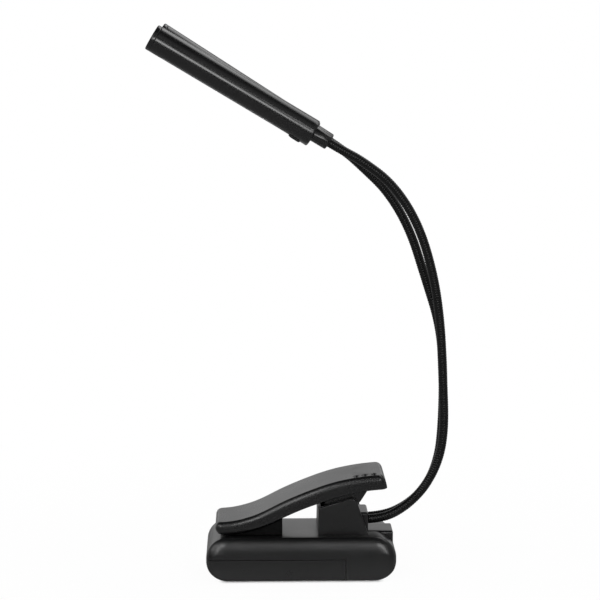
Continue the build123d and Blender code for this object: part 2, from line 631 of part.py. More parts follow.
def wound_tube(path, start, end):
    """A stretch of neck with its wound ribs and its bore."""
    ribs = max(1, round((end - start) / RIB_PITCH))
    pitch = (end - start) / ribs
    steps = [(rib + step, radius) for rib in range(ribs) for step, radius in RIB_STEPS]
    rings = [ring(path, start + step * pitch, radius) for step, radius in steps]
    rings.append(ring(path, end, NECK_VALLEY_RADIUS))
    steps = max(2, round((end - start) / BORE_STEP))
    bore = [ring(path, start + (end - start) * k / steps, NECK_BORE_RADIUS) for k in range(steps + 1)]
    return Solid.make_loft(rings, ruled=True) - Solid.make_loft(bore, ruled=True)


def neck_stretches(arm):
    """The neck cut square into stretches at its bends, and the bends' places."""
    path = arm.neck_path()
    bends = [length_at_height(path, z) for z in arm.bend_heights]
    starts = [0.0] + [bend + BEND_GAP / 2 for bend in bends]
    ends = [bend - BEND_GAP / 2 for bend in bends] + [path.length]
    for bend in bends:
        place = path.position_at(bend, PositionMode.LENGTH)
        along = path.tangent_at(bend, PositionMode.LENGTH)
        print(f"{arm.name} bend at {place.X:.2f} {place.Y:.2f} {place.Z:.2f}",
              f"heading {along.X:.3f} {along.Y:.3f} {along.Z:.3f}")
    print(f"{arm.name} neck length {path.length:.1f}")
    return [wound_tube(path, start, end) for start, end in zip(starts, ends)]


def core_wire(arm):
    """Core wire: up from the driver board, round inside the block and along the neck into the head."""
    points = arm.neck_points()
    y = points[0].Y
    points[0] = Vector(WIRE_DROP_X, y, NECK_EXIT_Z)
    points.insert(0, Vector(WIRE_DROP_X, y, CORE_FOOT_Z))
    points[-1] = arm.on_axis(-CORE_END_DEPTH)
    path = rounded_path(points, CORE_BEND_RADIUS)
    wire = sweep(Plane(origin=points[0], z_dir=(0, 0, 1)) * Circle(CORE_RADIUS), path)
    ratio = wire.volume / (math.pi * CORE_RADIUS ** 2 * path.length)
    print(f"{arm.name} core wire: volume over section times length {ratio:.4f}")
    return wire


def tube_x(radius, x):
    """A round bar along the head's own axis."""
    return rod(radius, (x[0], 0, 0), (x[1], 0, 0))


def window_cut(half_width):
    """The space under the head that the lens strip fills."""
    return block((WINDOW_X[0], WINDOW_X[1]), (-half_width, half_width), (-HEAD_RADIUS - 1, 0))


def head_tube(collar_rise):
    """Head tube: closed at the rear, with a lens window, a button hole and board rails."""
    length = HEAD_LENGTH - CAP_LENGTH
    body = tube_x(HEAD_RADIUS, (0, length))
    body = fillet(body.edges().filter_by(GeomType.CIRCLE).sort_by(Axis.X)[:1], REAR_EDGE_RADIUS)
    bore = tube_x(HEAD_RADIUS - HEAD_WALL, (REAR_WALL, length))
    body -= bore
    rails = block((LED_BOARD_X[0], LED_BOARD_X[1]), (-HEAD_RADIUS, HEAD_RADIUS), RAIL_Z)
    rails -= block((0, HEAD_LENGTH), (-RAIL_INNER_Y, RAIL_INNER_Y), (-HEAD_RADIUS, HEAD_RADIUS))
    body += rails & tube_x(HEAD_RADIUS - HEAD_WALL / 2, (REAR_WALL, length))
    body -= window_cut(WINDOW_HALF_WIDTH)
    hole = Pos(BUTTON_X, 0, -HEAD_RADIUS + HEAD_WALL) * button_prism(BUTTON_GAP, 4 * HEAD_WALL)
    body -= hole
    return body - Pos(0, 0, collar_rise) * tube_x(COLLAR_SPIGOT_RADIUS, (-1, REAR_WALL + 1))


def button_prism(gap, height):
    """The button's oval outline, standing on its centre."""
    oval = SlotOverall(BUTTON_LENGTH + 2 * gap, BUTTON_WIDTH + 2 * gap)
    return extrude(oval, height / 2, both=True)


def end_cap():
    """Cap of the head's front end, with a spigot into the tube."""
    start = HEAD_LENGTH - CAP_LENGTH
    cap = tube_x(HEAD_RADIUS, (start, HEAD_LENGTH))
    cap = fillet(cap.edges().filter_by(GeomType.CIRCLE).sort_by(Axis.X)[-1:], CAP_EDGE_RADIUS)
    spigot = tube_x(HEAD_RADIUS - HEAD_WALL - SNUG_GAP, (start - CAP_SPIGOT, start))
    return cap + (spigot - tube_x(HEAD_RADIUS - 2 * HEAD_WALL, (start - CAP_SPIGOT, start)))


def lens():
    """Clear strip flush with the tube, with a lip inside that keeps it in its window."""
    x = (WINDOW_X[0] + LENS_GAP, WINDOW_X[1] - LENS_GAP)
    strip = tube_x(HEAD_RADIUS, x) - tube_x(HEAD_RADIUS - LENS_THICKNESS, x)
    half = WINDOW_HALF_WIDTH - LENS_GAP
    strip &= block(x, (-half, half), (-HEAD_RADIUS, 0))
    outer = HEAD_RADIUS - HEAD_WALL - SNUG_GAP
    lip = tube_x(outer, x) - tube_x(outer - LENS_LIP_THICKNESS, x)
    lip &= block(x, (-LENS_LIP_HALF_WIDTH, LENS_LIP_HALF_WIDTH), (-HEAD_RADIUS, 0))
    return strip + lip


def led_board():
    """Narrow board that carries the head's LEDs, on the tube's rails."""
    return block(LED_BOARD_X, (-LED_BOARD_HALF_WIDTH, LED_BOARD_HALF_WIDTH), LED_BOARD_Z)


def leds():
    """The head's LEDs, soldered under the board."""
    long, wide, tall = LED_SIZE
    z = (LED_BOARD_Z[0] - tall, LED_BOARD_Z[0])
    return [block((x - long / 2, x + long / 2), (-wide / 2, wide / 2), z) for x in LED_X]


def switch():
    """Push switch above the button, with its plunger and a foot on the tube's roof."""
    long, wide, tall = SWITCH_SIZE
    x = (BUTTON_X - long / 2, BUTTON_X + long / 2)
    body = block(x, (-wide / 2, wide / 2), (SWITCH_Z, SWITCH_Z + tall))
    foot_y = (-SWITCH_FOOT_HALF_WIDTH, SWITCH_FOOT_HALF_WIDTH)
    return body + block(x, foot_y, (SWITCH_Z + tall, HEAD_RADIUS - HEAD_WALL - SWITCH_FOOT_GAP))


def button():
    """Oval push button under the head, with a flange inside the tube."""
    bottom = -HEAD_RADIUS - BUTTON_PROUD
    top = BUTTON_FLANGE_Z + BUTTON_FLANGE[2]
    stem = Pos(BUTTON_X, 0, (bottom + top) / 2) * button_prism(0, top - bottom)
    stem = fillet(stem.faces().sort_by(Axis.Z)[0].edges(), BUTTON_EDGE_RADIUS)
    long, wide, tall = BUTTON_FLANGE
    flange = Pos(BUTTON_X, 0, BUTTON_FLANGE_Z + tall / 2) * Box(long, wide, tall)
    return stem + flange


def collar(rise):
    """Collar between neck and head: a sleeve with a spigot into the head's rear wall."""
    body = tube_x(COLLAR_RADIUS, (-COLLAR_LENGTH, 0))
    body = fillet(body.edges().filter_by(GeomType.CIRCLE).sort_by(Axis.X)[:1], COLLAR_EDGE_RADIUS)
    body += tube_x(COLLAR_SPIGOT_RADIUS - SNUG_GAP, (0, REAR_WALL))
    body -= tube_x(NECK_SOCKET_RADIUS, (-COLLAR_LENGTH - 1, -COLLAR_LENGTH + NECK_PLUG_DEPTH))
    body -= tube_x(NECK_BORE_RADIUS, (-COLLAR_LENGTH, REAR_WALL + 1))
    return Pos(0, 0, rise) * body


def write(name, shape):
    """Write one node, joining separate solids into one group."""
    if isinstance(shape, list):
        shape = Compound(children=shape)
    export_step(shape, f"parts/{name}.step")


def base_pieces():
    """The nodes of the base, its door and the clip."""
    shell = base_shell()
    pieces = {
        "base_top_shell": base_top_shell(shell),
        "base_bottom_shell": base_bottom_shell(shell),
        "battery_door": battery_door(shell),
        "battery_tray": battery_tray(),
        "contact_springs": contact_springs(),
        "contact_tabs": contact_tabs(),
        "driver_board": driver_board(),
        "dc_jack": dc_jack(),
        "case_screws": case_screws(),
        "hinge_pin": hinge_pin(),
        "clip_spring": clip_spring(),
        "neck_block": neck_block(),
        "lever": lever(),
        "jaw_pad": jaw_pad(),
    }
    for index in range(3):
        pieces[f"battery_cell_{index + 1}"] = battery_cell(index)
    return pieces


def arm_pieces(arm):
    """The nodes of one arm: neck, core wire, collar and head."""
    pieces = {f"neck_{name}": tube for name, tube in zip(NECK_STRETCHES, neck_stretches(arm))}
    pieces["core_wire"] = core_wire(arm)
    plane = arm.head_plane()
    head = {"collar": collar(arm.collar_rise), "head_tube": head_tube(arm.collar_rise), "end_cap": end_cap(),
            "lens": lens(), "led_board": led_board(), "switch": switch(), "button": button()}
    pieces.update({name: plane * shape for name, shape in head.items()})
    pieces["leds"] = [plane * led for led in leds()]
    return {f"{arm.name}_{name}": shape for name, shape in pieces.items()}


os.makedirs("parts", exist_ok=True)
for arm in (FRONT, BACK):
    for name, shape in arm_pieces(arm).items():
        write(name, shape)
for name, shape in base_pieces().items():
    write(name, shape)
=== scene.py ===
"""Looks of the clip-on reading lamp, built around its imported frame.

Sizes in the classes are millimetres in the lamp's own frame: +Z up, the origin under the middle of the
base, +X towards the end where the necks come out, and the front arm on the -Y side. Meshes are made in
metres, and the sizes of the studio's floor and lamps and the depth of the finishes' bumps are metres too.
"""
import json
import logging
import math
from collections.abc import Callable
from dataclasses import dataclass, field
from enum import Enum
from functools import cache

import bmesh
import bpy
import numpy as np
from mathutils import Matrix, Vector


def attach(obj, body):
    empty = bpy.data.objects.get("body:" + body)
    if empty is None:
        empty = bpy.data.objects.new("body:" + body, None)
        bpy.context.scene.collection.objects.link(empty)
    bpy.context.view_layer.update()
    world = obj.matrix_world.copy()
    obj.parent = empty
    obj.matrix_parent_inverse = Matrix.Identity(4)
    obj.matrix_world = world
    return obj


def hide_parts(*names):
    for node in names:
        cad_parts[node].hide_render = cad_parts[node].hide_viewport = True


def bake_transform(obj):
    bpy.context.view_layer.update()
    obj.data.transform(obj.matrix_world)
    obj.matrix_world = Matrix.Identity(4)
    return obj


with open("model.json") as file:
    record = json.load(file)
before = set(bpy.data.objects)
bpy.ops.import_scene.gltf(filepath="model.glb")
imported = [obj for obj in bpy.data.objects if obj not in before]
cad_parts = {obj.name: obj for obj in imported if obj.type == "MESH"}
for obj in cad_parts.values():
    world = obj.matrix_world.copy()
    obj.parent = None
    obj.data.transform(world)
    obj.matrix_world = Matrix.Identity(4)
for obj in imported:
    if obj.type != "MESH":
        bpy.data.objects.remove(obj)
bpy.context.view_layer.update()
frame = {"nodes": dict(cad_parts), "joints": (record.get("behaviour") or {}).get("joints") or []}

MM = 0.001
QUARTER = np.pi / 2
LOG = logging.getLogger("reading_lamp")
Array = np.ndarray


class Value:
    """A shader socket whose arithmetic adds Math nodes to its tree."""

    def __init__(self, tree: "ShaderTree", socket: bpy.types.NodeSocket) -> None:
        """Wrap one output socket of a tree."""
        self.tree = tree
        self.socket = socket

    def _math(self, operation: str, first: object, second: object) -> "Value":
        """Add one Math node with two values or sockets."""
        return self.tree.node("ShaderNodeMath", {"operation": operation}, {0: first, 1: second})

    def __add__(self, other: object) -> "Value":
        """Sum."""
        return self._math("ADD", self, other)

    def __sub__(self, other: object) -> "Value":
        """Difference."""
        return self._math("SUBTRACT", self, other)

    def __rsub__(self, other: object) -> "Value":
        """Difference from a plain number."""
        return self._math("SUBTRACT", other, self)

    def __mul__(self, other: object) -> "Value":
        """Product."""
        return self._math("MULTIPLY", self, other)

    def larger(self, other: object) -> "Value":
        """The larger of two values."""
        return self._math("MAXIMUM", self, other)

    def about(self, middle: float, spread: float) -> "Value":
        """A value from 0 to 1, made to swing about a middle by a spread."""
        return (self - 0.5) * spread + middle


class ShaderTree:
    """The node tree of one material or of the world."""

    NOISE_ROUGHNESS = 0.55

    def __init__(self, owner: bpy.types.ID) -> None:
        """Empty the owner's tree.

        Args:
            owner: the material or the world.
        """
        owner.use_nodes = True
        self.tree = owner.node_tree
        self.tree.nodes.clear()

    def node(self, kind: str, settings: dict | None = None, inputs: dict | None = None,
             output: object = 0) -> Value:
        """Add a node, set it up and link it.

        Args:
            kind: the node's type.
            settings: properties to set first; "stops" gives a colour ramp's stops.
            inputs: values or sockets by input name or index.
            output: the name or index of the output to return.

        Returns:
            The chosen output, wrapped for arithmetic.
        """
        made = self.tree.nodes.new(kind)
        for name, setting in (settings or {}).items():
            if name == "stops":
                self._set_stops(made.color_ramp, setting)
            else:
                setattr(made, name, setting)
        for name, value in (inputs or {}).items():
            if isinstance(value, Value):
                self.tree.links.new(value.socket, made.inputs[name])
            else:
                made.inputs[name].default_value = value
        chosen = made.outputs[output] if made.outputs else None
        return Value(self, chosen)

    @staticmethod
    def _set_stops(ramp: bpy.types.ColorRamp, stops: list) -> None:
        """Give a colour ramp its stops.

        Args:
            ramp: the ramp to change.
            stops: pairs of place and colour, in rising order of place.
        """
        while len(ramp.elements) < len(stops):
            ramp.elements.new(1.0)
        for element, (place, colour) in zip(ramp.elements, stops):
            element.position = place
            element.color = (*colour, 1.0)

    def place(self) -> Value:
        """Object coordinates."""
        return self.node("ShaderNodeTexCoord", output="Object")

    def ray(self, kind: str) -> Value:
        """Whether a ray is of a kind, as 1 or 0."""
        return self.node("ShaderNodeLightPath", output=f"Is {kind} Ray")

    def noise(self, scale: float, detail: float = 3.0) -> Value:
        """Noise on Object coordinates, as a value from 0 to 1."""
        return self.node("ShaderNodeTexNoise", {}, {"Vector": self.place(), "Scale": scale,
                                                    "Detail": detail, "Roughness": self.NOISE_ROUGHNESS})

    def ramp(self, value: Value, stops: list) -> Value:
        """A colour ramp over a value."""
        return self.node("ShaderNodeValToRGB", {"stops": stops}, {"Fac": value})

    def ease(self, value: Value, start: float, end: float, low: float = 0.0, high: float = 1.0) -> Value:
        """A smooth step from low to high while a value goes from start to end.

        Args:
            value: the value to follow.
            start: where the step starts.
            end: where it ends.
            low: the result up to the start.
            high: the result from the end on.

        Returns:
            The step, as a socket.
        """
        return self.node("ShaderNodeMapRange", {"interpolation_type": "SMOOTHSTEP"},
                         {"Value": value, "From Min": start, "From Max": end,
                          "To Min": low, "To Max": high})

    def vector(self, operation: str, first: Value, second: tuple = (0.0, 0.0, 0.0),
               output: str = "Vector") -> Value:
        """One Vector Math node."""
        return self.node("ShaderNodeVectorMath", {"operation": operation}, {0: first, 1: second}, output)

    def bump(self, height: Value, strength: float, distance: float) -> Value:
        """A bump from a height, in metres at full strength."""
        return self.node("ShaderNodeBump", {}, {"Height": height, "Strength": strength,
                                                "Distance": distance})

    def surface(self, shader: Value) -> None:
        """Link the shader to the material's output."""
        self.node("ShaderNodeOutputMaterial", {}, {"Surface": shader})


def tint(colour: tuple, factor: float) -> tuple:
    """A colour made lighter or darker by a factor."""
    return tuple(min(1.0, channel * factor) for channel in colour)


def grey(level: float) -> tuple:
    """An opaque grey."""
    return (level, level, level, 1.0)


@dataclass(frozen=True)
class Surface:
    """What all finishes share: a principled shader, whose inputs each finish works out."""

    name: str

    def inputs(self, tree: ShaderTree) -> dict:
        """The shader's inputs: numbers, colours or sockets by name."""
        raise NotImplementedError

    def material(self) -> bpy.types.Material:
        """Make the material.

        Returns:
            The new material.
        """
        made = bpy.data.materials.new(self.name)
        tree = ShaderTree(made)
        tree.surface(tree.node("ShaderNodeBsdfPrincipled", {}, self.inputs(tree)))
        return made


@dataclass(frozen=True)
class MouldedPlastic(Surface):
    """Moulded plastic with a fine eroded grain and faint mottling."""

    colour: tuple = (0.004, 0.004, 0.0043)
    roughness: float = 0.30
    roughness_spread: float = 0.06
    grain_scale: float = 2600.0
    grain_depth: float = 0.00002
    grain_strength: float = 0.06
    mottle: float = 0.18
    mottle_scale: float = 60.0
    mottle_stops: tuple = (0.3, 0.7)
    detail: float = 2.0

    def inputs(self, tree: ShaderTree) -> dict:
        """Colour follows the mottling, roughness the mottling and the grain, and the grain is a bump.

        Args:
            tree: the material's tree.

        Returns:
            The shader's inputs by name.
        """
        cloud = tree.noise(self.mottle_scale, self.detail)
        grain = tree.noise(self.grain_scale, self.detail)
        dark, light = self.mottle_stops
        return {
            "Base Color": tree.ramp(cloud, [(dark, tint(self.colour, 1 - self.mottle)),
                                            (light, tint(self.colour, 1 + self.mottle))]),
            "Roughness": cloud.about(self.roughness, 2 * self.roughness_spread)
            + grain.about(0.0, self.roughness_spread),
            "Normal": tree.bump(grain, self.grain_strength, self.grain_depth)}


@dataclass(frozen=True)
class WoundSteel(Surface):
    """Black coated winding of the necks, with painted shade darkening the valleys of the winding."""

    crest: tuple = (0.004, 0.004, 0.0042)
    # painted shade: the valley colour is darker than the crest colour, standing in for shade in the
    # winding's grooves
    valley: tuple = (0.0012, 0.0012, 0.0012)
    stops: tuple = (0.15, 0.9)
    roughness: float = 0.26
    valley_roughness: float = 0.25
    wear_scale: float = 900.0
    wear_spread: float = 0.2
    wear_bump: tuple = (0.1, 0.00002)
    shine: float = 0.25

    def inputs(self, tree: ShaderTree) -> dict:
        """Colour and roughness follow the height in the winding, which is the attribute "wind"; the colour
        darkens towards the valleys as painted shade.

        Args:
            tree: the material's tree.

        Returns:
            The shader's inputs by name.
        """
        height = tree.node("ShaderNodeAttribute", {"attribute_name": "wind"}, output="Fac")
        wear = tree.noise(self.wear_scale)
        rough = (1.0 - height) * self.valley_roughness + wear.about(self.roughness, self.wear_spread)
        # painted shade: the ramp darkens the colour where the winding is low
        return {"Base Color": tree.ramp(height, list(zip(self.stops, (self.valley, self.crest)))),
                "Roughness": rough, "Specular IOR Level": self.shine,
                "Normal": tree.bump(wear, *self.wear_bump)}


@dataclass(frozen=True)
class Rubber(Surface):
    """Matte rubber with a fine skin and a little dust."""

    colour: tuple = (0.003, 0.003, 0.003)
    roughness: float = 0.72
    roughness_spread: float = 0.2
    skin_scale: float = 1500.0
    skin_detail: float = 4.0
    skin_bump: tuple = (0.35, 0.00005)
    dust_scale: float = 120.0
    dust_stops: tuple = (0.35, 0.8)
    dust_lift: float = 1.8
    shine: float = 0.1

    def inputs(self, tree: ShaderTree) -> dict:
        """Dust lightens the colour and varies the roughness, and the skin is a bump.

        Args:
            tree: the material's tree.

        Returns:
            The shader's inputs by name.
        """
        skin = tree.noise(self.skin_scale, self.skin_detail)
        dust = tree.noise(self.dust_scale)
        colours = (self.colour, tint(self.colour, self.dust_lift))
        return {"Base Color": tree.ramp(dust, list(zip(self.dust_stops, colours))),
                "Roughness": dust.about(self.roughness, self.roughness_spread),
                "Specular IOR Level": self.shine, "Normal": tree.bump(skin, *self.skin_bump)}


@dataclass(frozen=True)
class SmokedLens(Surface):
    """Smoked lens plastic, a little frosted."""

    colour: tuple = (0.22, 0.22, 0.23)
    roughness: float = 0.12
    roughness_spread: float = 0.12
    clearness: float = 0.85
    bending: float = 1.49
    frost_scale: float = 700.0
    frost_bump: tuple = (0.15, 0.00005)

    def inputs(self, tree: ShaderTree) -> dict:
        """Clear plastic, with frost in its roughness and as a bump.

        Args:
            tree: the material's tree.

        Returns:
            The shader's inputs by name.
        """
        frost = tree.noise(self.frost_scale)
        return {"Base Color": (*self.colour, 1.0),
                "Roughness": frost.about(self.roughness, self.roughness_spread),
                "Transmission Weight": self.clearness, "IOR": self.bending,
                "Normal": tree.bump(frost, *self.frost_bump)}


@dataclass(frozen=True)
class BareMetal(Surface):
    """Bare metal with brushed streaks along one axis."""

    colour: tuple = (0.55, 0.55, 0.56)
    roughness: float = 0.3
    roughness_spread: float = 0.2
    stretch: tuple = (1.0, 12.0, 12.0)
    streak_scale: float = 220.0
    streak_detail: float = 4.0
    streak_stops: tuple = (0.3, 0.7)
    streak_tints: tuple = (0.8, 1.1)
    streak_bump: tuple = (0.1, 0.00003)

    def inputs(self, tree: ShaderTree) -> dict:
        """Streaks of stretched noise in colour, roughness and bump.

        Args:
            tree: the material's tree.

        Returns:
            The shader's inputs by name.
        """
        along = tree.node("ShaderNodeMapping", {}, {"Vector": tree.place(), "Scale": self.stretch})
        streak = tree.node("ShaderNodeTexNoise", {}, {"Vector": along, "Scale": self.streak_scale,
                                                      "Detail": self.streak_detail})
        tints = [tint(self.colour, factor) for factor in self.streak_tints]
        return {"Base Color": tree.ramp(streak, list(zip(self.streak_stops, tints))),
                "Roughness": streak.about(self.roughness, self.roughness_spread), "Metallic": 1.0,
                "Normal": tree.bump(streak, *self.streak_bump)}


@dataclass(frozen=True)
class Board(Surface):
    """Circuit board lacquer over faint copper tracks."""

    colour: tuple = (0.02, 0.14, 0.05)
    track: tuple = (0.05, 0.24, 0.09)
    track_scale: float = 260.0
    track_width: float = 0.012
    roughness: float = 0.35
    roughness_spread: float = 0.2
    weave_scale: float = 2500.0
    weave_detail: float = 2.0
    weave_bump: tuple = (0.15, 0.00003)

    def inputs(self, tree: ShaderTree) -> dict:
        """Tracks are the joints of a brick pattern, and the board's weave is in roughness and bump.

        Args:
            tree: the material's tree.

        Returns:
            The shader's inputs by name.
        """
        plain = (*self.colour, 1.0)
        tracks = tree.node("ShaderNodeTexBrick", {}, {
            "Vector": tree.place(), "Scale": self.track_scale, "Mortar Size": self.track_width,
            "Color1": plain, "Color2": plain, "Mortar": (*self.track, 1.0)})
        weave = tree.noise(self.weave_scale, self.weave_detail)
        return {"Base Color": tracks, "Roughness": weave.about(self.roughness, self.roughness_spread),
                "Normal": tree.bump(weave, *self.weave_bump)}


class Finish(Enum):
    """The finishes that the lamp's pieces are given."""

    HOUSING = MouldedPlastic("housing_black")
    LEVER = MouldedPlastic("lever_black", roughness=0.28)
    HEAD = MouldedPlastic("head_gloss_black", roughness=0.2, roughness_spread=0.02, grain_strength=0.02)
    BUTTON = MouldedPlastic("button_black", roughness=0.36)
    TRAY = MouldedPlastic("tray_black", colour=(0.02, 0.02, 0.02), roughness=0.5)
    JACK = MouldedPlastic("jack_black", colour=(0.012, 0.012, 0.012), roughness=0.42)
    PAD = Rubber("pad_rubber")
    NECK = WoundSteel("neck_winding")
    LENS = SmokedLens("lens_smoked")
    STEEL = BareMetal("plain_steel")
    CONTACT = BareMetal("nickel_strip", colour=(0.72, 0.70, 0.64), roughness=0.22)
    CELL = BareMetal("cell_sleeve", colour=(0.36, 0.37, 0.40), roughness=0.38)
    DRIVER_BOARD = Board("driver_board_green")
    LED_BOARD = Board("led_board_white", colour=(0.78, 0.78, 0.76), track=(0.66, 0.66, 0.62))
    LED = MouldedPlastic("led_phosphor", colour=(0.85, 0.62, 0.16), roughness=0.3, mottle=0.05)


@cache
def material(finish: Finish) -> bpy.types.Material:
    """The material of a finish, made the first time it is asked for."""
    return finish.value.material()


def stand(name: str, data: bpy.types.ID) -> bpy.types.Object:
    """Put a new object in the scene.

    Args:
        name: the object's name.
        data: its mesh, lamp or camera.

    Returns:
        The object.
    """
    made = bpy.data.objects.new(name, data)
    bpy.context.scene.collection.objects.link(made)
    return made


def look(made: bpy.types.Object, place: Vector, facing: Vector) -> None:
    """Place a lamp or a camera and turn it towards what it faces.

    Args:
        made: the lamp or the camera.
        place: where it stands.
        facing: the direction in which it looks.
    """
    made.location = place
    made.rotation_mode = "QUATERNION"
    made.rotation_quaternion = facing.to_track_quat("-Z", "Y")


class Skin:
    """Gathers grid surfaces, in millimetres, into one mesh."""

    JOIN_DISTANCE = 2e-6
    SLIVER_DISTANCE = 1e-7

    def __init__(self) -> None:
        """Start with no points."""
        self.points: list = []
        self.faces: list = []
        self.count = 0
        self.marks: list = []

    def grid(self, points: Array, wrap_rows: bool = False, wrap_columns: bool = False,
             keep: Array | None = None, marks: Array | None = None) -> "Skin":
        """Add a grid of points joined into four-sided faces.

        Args:
            points: an array of rows, columns and three coordinates.
            wrap_rows: whether the last row joins the first.
            wrap_columns: whether the last column joins the first.
            keep: which cells to keep, as an array of rows and columns, or all.
            marks: a value for each point, for a finish that reads it.

        Returns:
            This skin.
        """
        rows, columns = points.shape[:2]
        row = np.arange(rows if wrap_rows else rows - 1)
        column = np.arange(columns if wrap_columns else columns - 1)
        i, j = np.meshgrid(row, column, indexing="ij")
        if keep is not None:
            i, j = i[keep], j[keep]
        after_i, after_j = (i + 1) % rows, (j + 1) % columns
        cells = np.stack([i * columns + j, i * columns + after_j, after_i * columns + after_j,
                          after_i * columns + j], axis=-1).reshape(-1, 4)
        return self._add(points.reshape(-1, 3), cells, marks)

    def disc(self, ring: Array) -> "Skin":
        """Close a ring of points with a fan about its middle.

        Args:
            ring: the points, going round.

        Returns:
            This skin.
        """
        count = len(ring)
        edge = np.arange(count)
        fan = np.stack([edge, (edge + 1) % count, np.full(count, count)], axis=-1)
        return self._add(np.vstack([ring, ring.mean(axis=0)]), fan, None)

    def _add(self, points: Array, faces: Array, marks: Array | None) -> "Skin":
        """Take in points and the faces that join them.

        Args:
            points: the points.
            faces: the faces, as rows of places in points.
            marks: a value for each point, or none for zeros.

        Returns:
            This skin.
        """
        self.points.append(points)
        self.faces += (faces + self.count).tolist()
        self.marks.append(np.zeros(len(points)) if marks is None else np.asarray(marks, float).ravel())
        self.count += len(points)
        return self

    @staticmethod
    def _sharpen_rims(mesh: bpy.types.Mesh) -> None:
        """Keep open rims sharp, so that a wall's edge doesn't shade into its face.

        Args:
            mesh: the mesh to change.
        """
        used = np.empty(len(mesh.loops), np.int32)
        mesh.loops.foreach_get("edge_index", used)
        layer = mesh.attributes.get("sharp_edge") or mesh.attributes.new("sharp_edge", "BOOLEAN", "EDGE")
        keep = np.zeros(len(mesh.edges), bool)
        layer.data.foreach_get("value", keep)
        layer.data.foreach_set("value", keep | (np.bincount(used, minlength=len(mesh.edges)) == 1))

    def build(self, name: str, finish: Finish, sharp: float = 40.0, mark: str = "") -> bpy.types.Object:
        """Make the mesh: join doubled points, turn faces outwards and smooth all but sharp edges.

        Args:
            name: the piece's name.
            finish: its finish.
            sharp: edges that turn by more than this many degrees stay sharp.
            mark: the name of the attribute that holds the marks, if one is wanted.

        Returns:
            The new object, linked to the scene.
        """
        mesh = bpy.data.meshes.new(name)
        mesh.from_pydata((np.vstack(self.points) * MM).tolist(), [], self.faces)
        if mark:
            layer = mesh.attributes.new(mark, "FLOAT", "POINT")
            layer.data.foreach_set("value", np.concatenate(self.marks).astype(np.float32))
        work = bmesh.new()
        work.from_mesh(mesh)
        bmesh.ops.remove_doubles(work, verts=work.verts, dist=self.JOIN_DISTANCE)
        bmesh.ops.dissolve_degenerate(work, edges=work.edges, dist=self.SLIVER_DISTANCE)
        bmesh.ops.recalc_face_normals(work, faces=work.faces)
        work.to_mesh(mesh)
        work.free()
        mesh.polygons.foreach_set("use_smooth", np.ones(len(mesh.polygons), bool))
        mesh.set_sharp_from_angle(angle=math.radians(sharp))
        self._sharpen_rims(mesh)
        mesh.materials.append(material(finish))
        return stand(name, mesh)


def thicken(piece: bpy.types.Object, wall: float) -> None:
    """Give an open surface a wall, turned inwards.

    Args:
        piece: the surface.
        wall: the wall's thickness.
    """
    layer = piece.modifiers.new("wall", "SOLIDIFY")
    layer.thickness = wall * MM
    layer.offset = -1.0


def smooth_line(points: tuple) -> Callable[[Array], Array]:
    """A smooth line through points: a natural cubic spline of height over length.

    Args:
        points: pairs of place and height, in rising order of place.

    Returns:
        A function from places to heights.
    """
    x, z = np.array(points, float).T
    step = np.diff(x)
    size = len(x)
    matrix = np.eye(size)
    right = np.zeros(size)
    inner = np.arange(1, size - 1)
    matrix[inner, inner - 1] = step[:-1]
    matrix[inner, inner] = 2 * (step[:-1] + step[1:])
    matrix[inner, inner + 1] = step[1:]
    right[inner] = 6 * (np.diff(z)[1:] / step[1:] - np.diff(z)[:-1] / step[:-1])
    bend = np.linalg.solve(matrix, right)

    def height(place: Array) -> Array:
        """Height of the line at each place, kept level past its ends.

        Args:
            place: places along the line.

        Returns:
            The heights.
        """
        inside = np.clip(place, x[0], x[-1])
        k = np.clip(np.searchsorted(x, inside) - 1, 0, size - 2)
        left, rest = inside - x[k], x[k + 1] - inside
        h = step[k]
        return ((bend[k] * rest ** 3 + bend[k + 1] * left ** 3) / (6 * h)
                + (z[k] / h - bend[k] * h / 6) * rest + (z[k + 1] / h - bend[k + 1] * h / 6) * left)

    return height


@dataclass(frozen=True)
class RingPattern:
    """Where the points of a rounded rectangle stand, going round it."""

    corner: int
    long: int
    short: int

    def shares(self) -> Array:
        """The points' shares of the straight half sides, and the directions of their corners.

        Returns:
            An array with a column for each point: share and direction in X, then share and direction in Y.
        """
        sides = np.array([(1, 1), (-1, 1), (-1, -1), (1, -1)], float)
        parts = []
        for k, here in enumerate(sides):
            after = sides[(k + 1) % 4]
            angle = np.linspace(k, k + 1, self.corner) * np.pi / 2
            facing = np.round([np.cos(angle), np.sin(angle)], 12)
            still = np.ones(self.corner)
            parts.append(np.stack([here[0] * still, facing[0], here[1] * still, facing[1]]))
            run = np.linspace(0, 1, (self.short if k % 2 else self.long) + 2)[1:-1]
            parts.append(np.stack([here[0] + (after[0] - here[0]) * run, np.full_like(run, facing[0, -1]),
                                   here[1] + (after[1] - here[1]) * run, np.full_like(run, facing[1, -1])]))
        return np.concatenate(parts, axis=1)

    def rings(self, low: Array, high: Array, half: Array, radius: Array) -> tuple:
        """Rounded rectangles, one for each row.

        X is the middle plus a share of (half length - radius), plus radius times the cosine of the corner's
        direction. Y is a share of (half width - radius), plus radius times its sine.

        Args:
            low: the lowest X of each row.
            high: the highest X of each row.
            half: half the width of each row.
            radius: the corner radius of each row.

        Returns:
            X and Y, each an array of rows and points.
        """
        share_x, facing_x, share_y, facing_y = self.shares()
        low, high, half, radius = (np.asarray(v, float)[:, None] for v in (low, high, half, radius))
        x = (low + high) / 2 + share_x * ((high - low) / 2 - radius) + radius * facing_x
        return x, share_y * (half - radius) + radius * facing_y


